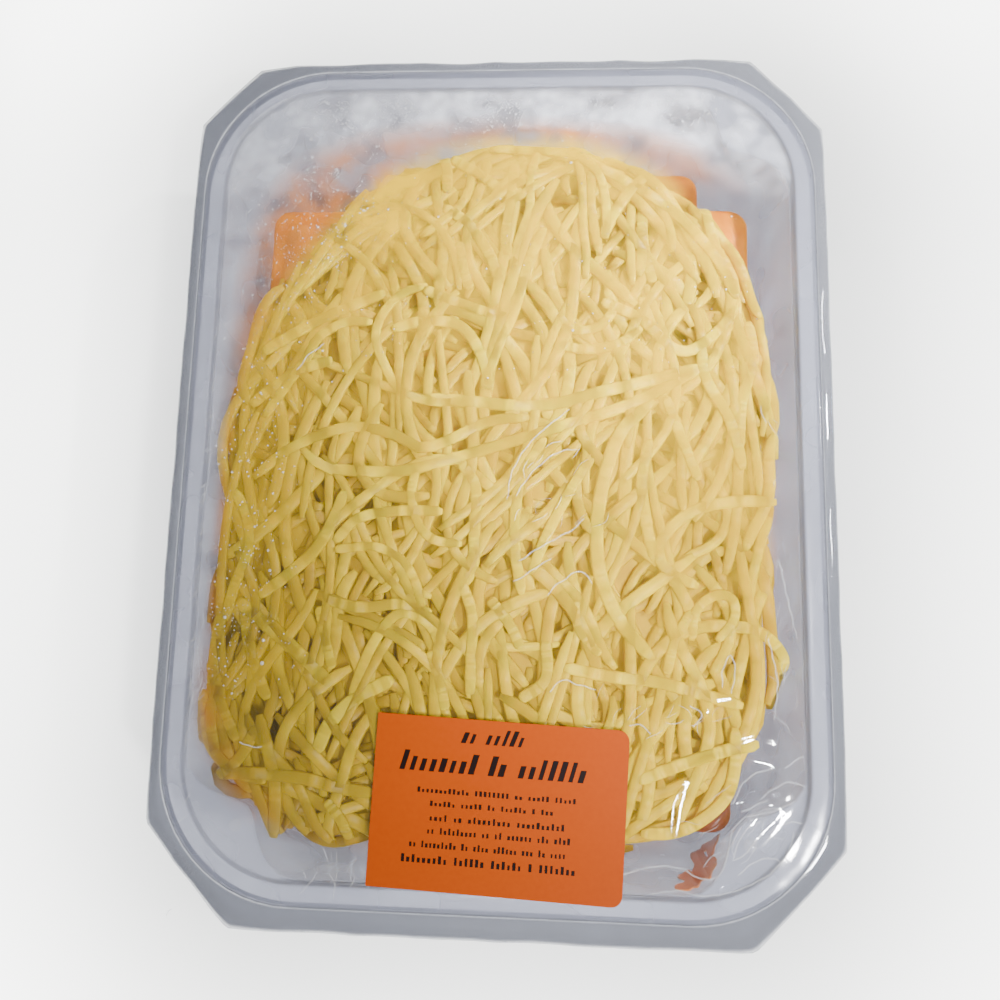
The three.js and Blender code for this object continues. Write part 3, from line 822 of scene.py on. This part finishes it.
def through_points(points, count):
    """Evenly spaced points along a smooth curve through the given ones."""
    p = np.array([points[0], *points, points[-1]], float)
    p[0], p[-1] = 2 * p[1] - p[2], 2 * p[-2] - p[-3]
    t = np.linspace(0, 1, 12, endpoint=False)[:, None]
    curve = []
    for a, b, c, d in zip(p, p[1:], p[2:], p[3:]):
        bend, twist = 2 * a - 5 * b + 4 * c - d, 3 * b - a - 3 * c + d
        curve.append(0.5 * (2 * b + (c - a) * t + bend * t ** 2 + twist * t ** 3))
    curve = np.concatenate([*curve, p[-2:-1]])
    run = np.concatenate([[0], np.cumsum(np.linalg.norm(np.diff(curve, axis=0), axis=1))])
    even = np.linspace(0, run[-1], count)
    return np.column_stack([np.interp(even, run, curve[:, 0]), np.interp(even, run, curve[:, 1])])


for lines, widths, thickness, tones in (
        (TOP_STRANDS, (2.4, 3.1), 0.8, (0.6, 1.0)), (BOLD_STRANDS, (2.9, 3.6), 0.85, (0.8, 1.1))):
    for points in lines:
        path = through_points(points, STATIONS["top"])
        lay("top", path, rng.uniform(*widths), thickness, rng.uniform(*tones))
print("strands on top:", len(laid["top"]))

# %% [markdown]
# All strands share one pattern: a bar with rounded edges, narrowed at its ends. bmesh makes the bar once,
# by a ring of points extruded along its length, and arrays then bend a copy of it along every path.

# %% The bar and its copies
SIX_SIDES = [(-0.5, 0.35), (-0.36, 0.0), (0.36, 0.0), (0.5, 0.35), (0.38, 1.0), (-0.38, 1.0)]
EIGHT_SIDES = [(-0.5, 0.4), (-0.4, 0.0), (0.4, 0.0), (0.5, 0.4),
               (0.46, 0.8), (0.36, 1.0), (-0.36, 1.0), (-0.46, 0.8)]


def bar(section, stations):
    """The faces of the bar, and for each of its corners the station and the section point it came from."""
    bm = bmesh.new()
    bmesh.ops.create_circle(bm, cap_ends=True, segments=len(section), radius=1)
    point = bm.verts.layers.int.new("point")
    for k, v in enumerate(bm.verts):
        v[point] = k
        v.co = (section[k][0], 0, section[k][1])
    front = list(bm.faces)
    for _ in range(stations - 1):
        made = bmesh.ops.extrude_face_region(bm, geom=front)["geom"]
        bmesh.ops.translate(bm, verts=[g for g in made if isinstance(g, bmesh.types.BMVert)], vec=(0, 1, 0))
        front = [g for g in made if isinstance(g, bmesh.types.BMFace)]
    bmesh.ops.recalc_face_normals(bm, faces=bm.faces)
    bm.verts.index_update()
    station = np.array([round(v.co.y) for v in bm.verts])
    points = np.array([v[point] for v in bm.verts])
    faces = [[v.index for v in f.verts] for f in bm.faces]
    bm.free()
    return faces, station, points


def joined_strands(name, groups):
    """One mesh of bent copies of the bar, with each strand's tone kept on its points."""
    corners, faces, tones, start = [], [], [], 0
    for section, strands in groups:
        section = np.array(section)
        stations = len(strands[0][0])
        bar_faces, station, point = bar(section, stations)
        slim = np.ones(stations)
        slim[[0, -1]], slim[[1, -2]] = 0.5, 0.93
        for line, side, width, thickness, tone in strands:
            across = section[point, 0] * width * slim[station]
            up = 0.5 + (section[point, 1] - 0.5) * slim[station]
            xy = line[station, :2] + side[station] * across[:, None]
            corners.append(np.column_stack([xy, line[station, 2] + thickness * up]))
            faces += [[c + start for c in face] for face in bar_faces]
            tones.append(np.full(len(station), tone))
            start += len(station)
    mesh = copies_joined(name, np.concatenate(corners), faces)
    mesh.attributes.new("tone", "FLOAT", "POINT").data.foreach_set("value", np.concatenate(tones))
    return mesh


strands = joined_strands("strands", [
    (SIX_SIDES, laid["low"]), (SIX_SIDES, laid["high"]), (EIGHT_SIDES, laid["top"])])
bm = bmesh.new()
bm.from_mesh(strands)
bm.from_mesh(mass.data)
bpy.data.objects.remove(mass)
cheese = finished("grated_strands", bm)
print("cheese triangles:", sum(len(p.vertices) - 2 for p in cheese.data.polygons))

# %% [markdown]
# Young semi-hard cheese, cut by a coarse grater: pale yellow, waxy and a little see-through, so light
# softens its edges. Each strand has its own tone, and a fine grain runs over the cut faces. Its colour is
# painted darker towards the near left of the heap, as painted shade, and darker for the lower layers, as
# painted shade of depth with some of the sauce's colour.

# %% Young cheese, coarsely grated
young_cheese, tree = material("young_cheese_grated")
curd = noise(tree, 7, 1.0)
tone = maths(tree, "MULTIPLY", maths(tree, "ADD", noted(tree, "tone"), curd), 0.5)
shade = shades(tree, tone, (0.2, "#BE9600"), (0.72, "#F2CC00"), (0.86, "#F8D810"))
# Painted shade: the colour is darkened towards the near left of the heap, where the lamps on the right light
# it less
towards = add(tree, "ShaderNodeVectorMath", {
    0: placing(tree), 1: (-7.1, -5.5, 0.0)}, operation="DOT_PRODUCT")
painted_shade_left = ranged(tree, towards.outputs["Value"], 0.1, 0.9, 0.0, 1.0)
cheese_painted_shade = tinted(tree, 1.0, shade, tinted(tree, painted_shade_left, WHITE, linear("#ACAC88")), "MULTIPLY")
grain = relief(tree, noise(tree, 0.9, 2.0), 0.2, 0.2)
show(tree, skin(tree, cheese_painted_shade, 0.45, Specular_IOR_Level=0.2, Normal=grain,
                Subsurface_Weight=0.45, Subsurface_Radius=(1.0, 0.8, 0.2), Subsurface_Scale=2.6 * MM))
dress(cheese, young_cheese, "grated_cheese", "cheese")
print("finish:", young_cheese.name)

# %% [markdown]
# Now **the film** itself. It spans the tray, lies flat on the flange and hangs over past it, with its
# corners cut off slantwise and drooping. Creases run over the near right corner, where it wasn't drawn
# tight. Each crease is a narrow ridge along a line, so that its flanks catch the light.

# %% Creases
CREASES = [
    ([(46, -74), (52, -71), (60, -70), (68, -71)], 0.8, 1.1),
    ([(46, -74), (43, -80), (42, -88), (40, -94)], 0.8, 1.2),
    ([(48, -79), (55, -80), (63, -79), (69, -81)], 0.8, 0.9),
    ([(50, -86), (53, -82), (58, -80)], 0.7, 0.8),
    ([(52, -94), (56, -90), (62, -88), (68, -82)], 0.8, 1.0),
    ([(35, -97), (42, -98), (50, -96), (58, -91)], 0.7, 1.1),
    ([(60, -86), (61, -82), (66, -80), (70, -77)], 0.7, 0.8),
    ([(56, -66), (62, -64), (70, -66)], 0.5, 0.9),
    ([(30, -60), (36, -62), (44, -60)], 0.4, 0.9),
    ([(50, -60), (53, -56), (59, -55)], 0.4, 0.8),
    ([(-40, -92), (-39, -98), (-41, -101)], 0.5, 0.8),
    ([(-30, -93), (-29, -98), (-30, -101)], 0.4, 0.7),
    ([(-72, -30), (-70, -45), (-71, -60), (-70, -74)], 0.4, 0.8),
]


def crease(x, y, line, height, width):
    """How far one crease lifts the film: a ridge along its line that fades at both ends."""
    nearest = np.full(np.shape(x), 1e9)
    fade = np.zeros(np.shape(x))
    parts = len(line) - 1
    for k in range(parts):
        (ax, ay), (bx, by) = line[k], line[k + 1]
        dx, dy = bx - ax, by - ay
        t = np.clip(((x - ax) * dx + (y - ay) * dy) / (dx * dx + dy * dy), 0, 1)
        gap = np.hypot(x - ax - t * dx, y - ay - t * dy)
        along = (k + t) / parts
        fade = np.where(gap < nearest, np.sin(math.pi * np.clip(along, 0.04, 0.96)) ** 0.5, fade)
        nearest = np.minimum(nearest, gap)
    return height * fade * np.exp(-(nearest / width) ** 2)


def film_lift(x, y):
    """The film's own unevenness: a slow swell everywhere, and the creases. None on the flange."""
    over = np.clip(1 - (np.abs(x) / INNER_X) ** 8, 0, 1) * np.clip(1 - (np.abs(y) / INNER_Y) ** 8, 0, 1)
    lift = 0.16 * swell(x, y, 7.0, 4) + 0.12 * swell(x, y, 3.1, 8)
    for line, height, width in CREASES:
        lift = lift + crease(x, y, line, height, width)
    return over * (lift + 0.2)


print("creases:", len(CREASES))

# %% [markdown]
# The sheet is drawn from its middle out over the flange to its cut edge. The rings lie closer together
# towards the rim, where the creases are.

# %% The film's sheet
FILM_SIDE, FILM_NEAR = 2.8, 6.0
FILM_CUTS = {(1, 1): 4.5, (-1, 1): 6.8, (-1, -1): 4.2, (1, -1): 4.4}
CUT_ANGLE = math.radians(42)
# Where food lies below the film: its reach along X, along Y and over the corners
FOOD_X, FOOD_Y, FOOD_CORNER = 71, 95, 146
FILM_STEPS = {"corner": 44, "side": (56, 72)}


def film_edge(share):
    """The film past the rim, at a share of the way to its cut edge, with its droop."""
    rim = rim_ring(0, **FILM_STEPS)
    out = np.abs(rim) - np.array([RIM_X - RIM_RADIUS, RIM_Y - RIM_RADIUS])
    out = np.maximum(out, 0)
    length = np.hypot(*out.T)
    cut = np.array([FILM_CUTS[(1 if x > 0 else -1, 1 if y > 0 else -1)] for x, y in rim])
    to_near_end = (rim[:, 1] < 0) & (out[:, 1] >= out[:, 0])
    to_side = length * (RIM_RADIUS + np.where(to_near_end, FILM_NEAR, FILM_SIDE)) / out.max(1)
    slant = (out[:, 0] * math.cos(CUT_ANGLE) + out[:, 1] * math.sin(CUT_ANGLE)) / length
    to_cut = (RIM_RADIUS + cut) / np.maximum(slant, 0.01)
    past = (np.minimum(to_side, to_cut) - RIM_RADIUS) * share
    wave = 0.5 * np.sin(rim[:, 0] / 9) * np.cos(rim[:, 1] / 12) + 0.25 * np.sin((rim[:, 0] - rim[:, 1]) / 4)
    xy = rim + np.sign(rim) * out / length[:, None] * past[:, None]
    return at_height(xy, RIM_Z + FILM_GAP - 0.3 * past * share - np.abs(wave) * share)


rows = []
for share in (*np.linspace(0.05, 0.6, 20), *np.linspace(0.62, 1.0, 48)):
    points = ring(INNER_X * share, INNER_Y * share, INNER_RADIUS * share, **FILM_STEPS)
    rows.append(at_height(points, film_under(*points.T) + film_lift(*points.T)))
rows += [at_height(rim_ring(inward, **FILM_STEPS), RIM_Z + FILM_GAP) for inward in (4.5, 2.5, 0.8)]
rows += [film_edge(share) for share in (0.02, 0.2, 0.4, 0.6, 0.8, 1.0)]
rows = [pole(0, 0, float(rows[0][:, 2].mean()), rows[0]), *rows]
film = sheet_through("sealed_film", rows, close=False)
x, y, _ = points_of(film).T
past = past_rim(x, y)
# How far past the rim a point is, for the painted shade of the overhang
note(film, "past", np.clip(past + 0.9, 0, 1))
within = np.clip((-FLANGE - past) / 2, 0, 1)
at_corner = (np.abs(x) + np.abs(y)) / FOOD_CORNER
food_reach = ((np.abs(x) / FOOD_X) ** 8 + (np.abs(y + 3) / FOOD_Y) ** 8 + at_corner ** 8) ** (1 / 8)
over_food = np.clip((1.03 - food_reach) / 0.08, 0, 1)
over_heap = np.clip((1.02 - heap_share(x, y)) / 0.06, 0, 1)
note(film, "food", 0.5 * over_food + 0.5 * over_heap)
far_fog = 0.44 * np.clip((y - 70) / 26, 0, 1) * (1 - 0.5 * over_food)
left_fog = 0.10 * np.clip((-x - 45) / 28, 0, 1)
left_fog = left_fog + 0.30 * np.exp(-((x + 42) ** 2 / 500 + (y - 66) ** 2 / 420))
food_fog = 0.15 * over_heap * np.clip(0.55 + (x + y) / 150, 0.2, 1)
note(film, "fog", within * (far_fog + left_fog) + food_fog + 0.01)
walled(film, 0.12)
print("film faces:", len(film.data.polygons))

# %% [markdown]
# Where the film was folded hard, the crease shows as a fine white line. These are drawn as thin
# ridges along the film: narrow bars, narrowed further at both ends, of the same kind as the strands. Their
# white is a painted highlight, the glint along each fold.

# %% Fine lines of the creases
FINE_CREASES = [
    [(29, -98), (38, -95), (45, -95), (49, -97), (53, -97), (55, -94), (56, -90), (57, -86), (60, -83),
     (65, -82), (72, -79)],
    [(38, -101), (45, -100), (49, -101), (56, -100), (63, -97), (67, -94), (70, -90), (71, -86)],
    [(57, -80), (60, -75), (63, -73), (67, -72)],
    [(63, -79), (66, -77), (70, -75), (74, -76)],
    [(69, -72), (72, -70), (74, -69)],
    [(57, -93), (58, -89), (61, -85), (64, -84), (63, -87), (60, -91), (57, -93)],
    [(58, -96), (62, -93), (66, -92), (68, -93)],
    [(65, -88), (67, -85), (70, -84), (73, -84)],
    [(59, -82), (61, -81), (65, -79)],
    [(3, -10), (4, -3), (8, 4), (13, 9), (18, 13)],
    [(5, -9), (9, -3), (15, 2), (20, 3)],
    [(6, -25), (12, -21), (19, -17), (22, -14)],
    [(5, -30), (11, -26), (14, -24)],
    [(13, -33), (16, -30), (21, -27), (24, -30)],
    [(14, -56), (17, -53), (21, -54), (25, -55)],
    [(55, -54), (55, -50), (57, -46), (58, -50), (57, -55)],
    [(-52, 23), (-49, 27), (-45, 30)],
    [(33, -63), (36, -63), (38, -65)],
    [(47, -58), (50, -60), (48, -63)],
    [(-61, -70), (-58, -71), (-55, -71)],
    [(69, -23), (71, -33), (73, -42)],
    [(66, -42), (68, -52), (67, -61)],
]
FOUR_SIDES = [(-0.5, 0.0), (0.5, 0.0), (0.22, 1.0), (-0.22, 1.0)]
# Zones of short puckers: middle, reach, how many, their length, their lie and how far that strays
PUCKERS = [
    ((60, -86), (12, 9), 14, (3, 8), 0.5, 0.6),
    ((69, -30), (3, 40), 22, (2, 6), 1.5, 0.4),
    ((-74.6, -20), (0.7, 75), 80, (1.2, 3), 0.75, 0.3),
    ((-73, -62), (1.5, 22), 26, (2, 6), 1.2, 0.5),
    ((-35, -99), (14, 3), 12, (3, 8), 1.5, 0.25),
    ((-70, 60), (3, 20), 12, (1.5, 4), 0.4, 0.4),
    ((12, -12), (14, 18), 16, (2, 6), 0.8, 0.4),
    ((40, -60), (16, 6), 14, (2, 5), 0.3, 0.8),
    ((40, 97), (18, 3), 20, (2, 5), 1.3, 0.6),
]
LINE_STATIONS = 26
rng = np.random.default_rng(5)
folds = [(through_points(points, LINE_STATIONS), 0.42) for points in FINE_CREASES]
for middle, reach, count, (shortest, longest), lie, stray in PUCKERS:
    for _ in range(count):
        x, y = np.array(middle) + np.clip(rng.normal(0, 0.55, 2), -1.2, 1.2) * reach
        angle, length = rng.normal(lie, stray), rng.uniform(shortest, longest)
        share = np.linspace(-0.5, 0.5, LINE_STATIONS)
        bow = rng.normal(0, 0.12) * length * (1 - 4 * share ** 2)
        path = np.column_stack([x + share * length * math.cos(angle) - bow * math.sin(angle),
                                y + share * length * math.sin(angle) + bow * math.cos(angle)])
        folds.append((path[::5], rng.uniform(0.12, 0.3)))
ridges = []
for path, width in folds:
    path = path + 0.12 * np.sin(path[:, ::-1] * 1.7 + len(ridges))
    step = np.gradient(path, axis=0)
    step /= np.linalg.norm(step, axis=1)[:, None]
    side = np.column_stack([-step[:, 1], step[:, 0]])
    bottom = film_under(*path.T) + film_lift(*path.T) - 0.04
    ridges.append((np.column_stack([path, bottom]), side, width, 0.15, 0.0))
long_ridges = [ridge for ridge in ridges if len(ridge[0]) == LINE_STATIONS]
short_ridges = [ridge for ridge in ridges if len(ridge[0]) < LINE_STATIONS]
crease_lines = placed("crease_lines", joined_strands("crease_lines", [
    (FOUR_SIDES, long_ridges), (FOUR_SIDES, short_ridges)]))
print("fine creases:", len(ridges))

# %% [markdown]
# Clear laminated film, heat-sealed. Almost all light goes through it. What shows is its gloss, on every
# crease, and the breath of moisture on its underside: a thin fog over the heap, and a thicker one at the
# far end and down the left.
# The gloss is a thin share of mirror. The fog is a thin share of matt grey, over the pasta of orange and
# over the cheese of straw, as each bead in it shows what lies below it. Past the rim the film is painted
# a darker grey, with a little more of the matt share: painted shade of the overhang.

# %% Clear sealing film
sealing_film, tree = material("clear_sealing_film")
past, food, breath = (noted(tree, name) for name in ("past", "food", "fog"))
patchy = ranged(tree, noise(tree, 12, 2.0, 0.65), 0.35, 0.65, 0.2, 1.5)
# Past the rim, a larger matt share and a darker see-through grey: painted shade of the overhang
fog_share = maths(tree, "MULTIPLY_ADD", past, 0.11, maths(tree, "MULTIPLY", breath, patchy))
fog_tint = shades(tree, food, (0.0, "#DCDEE6"), (0.5, "#E08830"), (1.0, "#F0C400"))
mirror_share = maths(tree, "MULTIPLY", add(tree, "ShaderNodeFresnel", {"IOR": 1.5}).outputs["Fac"], 0.4)
through = clear(tree, tinted(tree, past, linear("#FEFEFF"), linear("#989AA2")))
glossy = shared(tree, mirror_share, through, skin(tree, WHITE, 0.06, Metallic=1.0))
show(tree, shared(tree, fog_share, glossy, skin(tree, fog_tint, 0.5, Specular_IOR_Level=0.05)))
dress(film, sealing_film, "clear_film", "film_lid")

# Painted highlight: a white share on the fine creases for the glint along each fold, and on the marks of the
# mould for their glint.
painted_highlight_film, tree = material("sealing_film_painted_highlight")
show(tree, shared(tree, 0.17, clear(tree, WHITE), skin(tree, WHITE, 0.1)))
dress(crease_lines, painted_highlight_film, "clear_film")
dress(buttons, painted_highlight_film, "clear_film")
print("finish:", sealing_film.name)

# %% [markdown]
# **The label** is die-cut from a strip: its left edge was cut straight and its right corners are rounded.
# It lies on the film and follows it. What was printed on it is left out, and rows of plain strokes of
# dark ink take the place of its lines.

# %% The label
LABEL_X, LABEL_Y, LABEL_TURN = 2.3, -83.0, -0.042
LABEL_HALF = (30.0, 20.0)
LABEL_CLEAR, LABEL_THICK = 0.75, 0.15


def on_label(u, v, lift=0.0):
    """From the label's own millimetres to a place on the film."""
    x = LABEL_X + u * math.cos(LABEL_TURN) - v * math.sin(LABEL_TURN)
    y = LABEL_Y + u * math.sin(LABEL_TURN) + v * math.cos(LABEL_TURN)
    return np.column_stack([x, y, film_under(x, y) + LABEL_CLEAR + lift])


def label_outline(share):
    """The label's outline at a share of its size: sharp corners on the left, rounded on the right."""
    sharp = ring(LABEL_HALF[0], LABEL_HALF[1], 0.3, corner=6, side=(24, 16))
    rounded = ring(LABEL_HALF[0], LABEL_HALF[1], 2.6, corner=6, side=(24, 16))
    return np.where(sharp[:, :1] > 0, rounded, sharp) * share


SHARES = (0.15, 0.3, 0.45, 0.6, 0.75, 0.88, 1.0)
face = [on_label(*label_outline(s).T) for s in SHARES]
back = [on_label(*label_outline(s).T, -LABEL_THICK) for s in reversed(SHARES)]
middle = on_label(np.zeros(1), np.zeros(1))[0]
rows = [pole(*middle, face[0]), *face, *back, pole(*(middle - (0, 0, LABEL_THICK)), face[0])]
label = sheet_through("label_sheet", rows)
label.data.set_sharp_from_angle(angle=math.radians(40))
print("label faces:", len(label.data.polygons))

# %% Strokes of ink
# Each row: middle along and across, height and pitch of its strokes, slant, and the strokes in each group
ROWS = [
    (-1.5, 16.2, 3.6, 1.9, 0.35, (2, 5)),
    (-1.0, 9.6, 4.6, 2.35, 0.25, (8, 2, 7)),
    (0.0, 3.0, 1.2, 1.05, 0.0, (12, 8, 2, 5, 5)),
    (-1.0, 0.0, 1.2, 1.05, 0.0, (6, 5, 2, 6, 1, 3)),
    (0.5, -3.2, 1.5, 1.15, 0.0, (4, 2, 9, 10)),
    (1.0, -6.2, 1.5, 1.0, 0.0, (2, 9, 2, 2, 6, 3, 4)),
    (-1.5, -9.4, 1.5, 0.95, 0.0, (2, 9, 2, 4, 6, 3, 2, 4)),
    (-1.0, -12.8, 1.8, 1.25, 0.0, (9, 6, 6, 1, 7)),
]
INK_LIFT = 0.02
rng = np.random.default_rng(12)
bm = bmesh.new()
strokes = 0
for u_middle, v_middle, height, pitch, slant, groups in ROWS:
    run = pitch * (sum(groups) + len(groups) - 1)
    u = u_middle - run / 2
    for group in groups:
        for _ in range(group):
            tall = height * rng.choice([0.62, 0.7, 1.0])
            wide = pitch * rng.uniform(0.4, 0.62)
            grid = bmesh.ops.create_grid(bm, x_segments=1, y_segments=1, size=0.5)["verts"]
            for vert in grid:
                across, up = vert.co.x * wide, (vert.co.y + 0.5) * tall
                along, height_up = np.array([[u + across + slant * up], [v_middle + up - height / 2]])
                vert.co = on_label(along, height_up, INK_LIFT)[0] * MM
            u += pitch
            strokes += 1
        u += pitch
ink_bars = finished("label_strokes", bm)
print("strokes:", strokes)

# %% [markdown]
# Coated label paper, printed a flat strong orange: smooth, half glossy, with the slight mottle of a solid
# print. The ink is a near black that soaks in and shines less.

# %% Coated paper and ink
coated_paper, tree = material("coated_label_paper_orange")
mottle = noise(tree, 1.2, 4.0)
print_shade = shades(tree, mottle, (0.0, "#983A00"), (1.0, "#A24000"))
show(tree, skin(tree, print_shade, 0.4, Specular_IOR_Level=0.08, Normal=relief(tree, mottle, 0.1, 0.05)))
dress(label, coated_paper, "label_paper", "label")

# Ink from a printer's ribbon
label_ink, tree = material("label_ink_printed")
show(tree, skin(tree, linear("#140604"), 0.5, Specular_IOR_Level=0.1))
dress(ink_bars, label_ink, "label_paper")
print("finishes:", coated_paper.name, label_ink.name)

# %% [markdown]
# **Drops.** Warm food breathes moisture onto the cold film. It gathers in beads under the film, thickest
# at the far end and down the left side. A bead is a flattened ball under the film, made once and copied.

# %% Drops under the film
rng = np.random.default_rng(8)
DROPS = 5000
DROPS_X, DROPS_Y, DROPS_CORNER = 73, 100, 112
bm = bmesh.new()
bmesh.ops.create_icosphere(bm, subdivisions=1, radius=0.5)
bead_points = np.array([v.co for v in bm.verts])
bead_faces = [[v.index for v in f.verts] for f in bm.faces]
bm.free()
drop_points = []
while len(drop_points) < DROPS:
    kind = rng.random()
    if kind < 0.5:
        x, y = rng.uniform(-60, 56), 99 - abs(rng.normal(0, 6))
    elif kind < 0.72:
        x, y = rng.normal(-48, 10), rng.normal(70, 14)
    elif kind < 0.94:
        x, y = rng.normal(-64, 7), rng.uniform(-60, 75)
    else:
        x, y = rng.uniform(-60, 66), rng.uniform(20, 90)
    if abs(x) > DROPS_X or abs(y) > DROPS_Y or (abs(x) + abs(y)) / math.sqrt(2) > DROPS_CORNER:
        continue
    size = min(0.2 + rng.exponential(0.13), 1.3)
    level = float(film_under(x, y) + film_lift(x, y)) - 0.06
    drop_points.append(bead_points * (size, size, size * 0.5) + (x, y, level))
count = len(bead_points)
drops = placed("moisture_drops", copies_joined(
    "moisture_drops", np.concatenate(drop_points),
    [[c + n * count for c in face] for n in range(DROPS) for face in bead_faces]))

# Condensed water, which shows mostly by its gloss; its white share is a painted highlight that makes each
# bead a bright speck
water, tree = material("water_beads_condensed")
show(tree, shared(tree, 0.28, clear(tree, WHITE), skin(tree, linear("#F4F6F8"), 0.12, IOR=1.6)))
dress(drops, water, "clear_film")
print("drops:", DROPS)

# %% [markdown]
# The table is a plain pale floor. Three narrow lamps stand above it on the right and light the food from
# its far end to the label, least at the near end. A small one at the near right puts glints on the film's
# creases, and four strips overhead light the floor.

# %% Floor, lamps and sky
bm = bmesh.new()
bmesh.ops.create_grid(bm, x_segments=1, y_segments=1, size=3.0)
floor = finished("floor", bm, smooth=False)
floor_look, tree = material("pale_floor")
show(tree, skin(tree, linear("#FCFDFA"), 0.7))
floor.data.materials.append(floor_look)
floor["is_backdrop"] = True


def lamp(name, place, aim, size, watts, spread, length=None):
    """An area lamp that faces a point, in metres. spread is its beam in degrees, length its other side."""
    data = bpy.data.lights.new(name, "AREA")
    data.shape = "RECTANGLE"
    data.size, data.size_y, data.energy = size, length or size, watts
    data.spread = math.radians(spread)
    made = placed(name, data)
    made.location = place
    made.rotation_euler = (Vector(aim) - Vector(place)).to_track_quat("-Z", "Y").to_euler()


RIGHT_LAMPS = [(0.25, 0.085, 0.125), (0.15, 0.03, 0.125), (0.03, -0.05, 0.035)]
for k, (from_y, to_y, watts) in enumerate(RIGHT_LAMPS):
    lamp(f"right_lamp_{k}", (0.50, from_y, 0.46), (0.03, to_y, 0.04), 0.05, watts, 13)
lamp("small_lamp", (0.36, -0.32, 0.62), (0.03, -0.05, 0.04), 0.06, 0.25, 30)
# Strips over the table light the floor round the dish, and only the edge of the dish
for side in (-1, 1):
    lamp(f"side_strip_{side}", (0.17 * side, 0, 0.35), (0.17 * side, 0, 0), 0.06, 0.6, 30, length=0.4)
    lamp(f"end_strip_{side}", (0, 0.20 * side, 0.35), (0, 0.20 * side, 0), 0.4, 0.6, 30, length=0.06)
world = bpy.data.worlds.new("studio")
world.use_nodes = True
sky = world.node_tree.nodes["Background"].inputs
sky["Color"].default_value, sky["Strength"].default_value = linear("#F4F6FA"), 0.7
bpy.context.scene.world = world

# %% [markdown]
# The camera looks down on the dish from close above, tilted a little to the near side, as the photograph
# was taken. Its place was worked out from the rim's corners: turns about X, Y and Z, and a shift.

# %% The camera
FOCAL_PX, FRAME_PX = 750, 1000
tilt = (Matrix.Rotation(math.radians(-1.36), 3, "Z") @ Matrix.Rotation(math.radians(-7.48), 3, "X")
        @ Matrix.Rotation(math.radians(-3.06), 3, "Y"))
shift = Vector((-0.005, 0.059, -1.166)) * (2 * RIM_X * MM)
turned = tilt.transposed()
camera_data = bpy.data.cameras.new("camera")
camera_data.sensor_width = 36
camera_data.lens = 36 * FOCAL_PX / FRAME_PX
camera_data.clip_start = 0.01
camera = placed("camera", camera_data)
matrix = turned.to_4x4()
matrix.translation = -(turned @ shift) + Vector((0, 0, RIM_Z * MM))
camera.matrix_world = matrix
bpy.context.scene.camera = camera
print("camera at (mm):", [round(v / MM) for v in matrix.translation])

# %% Sizes and the end
low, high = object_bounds()
print("visual box (mm):", [round(v / MM, 1) for v in (*low, *high)])
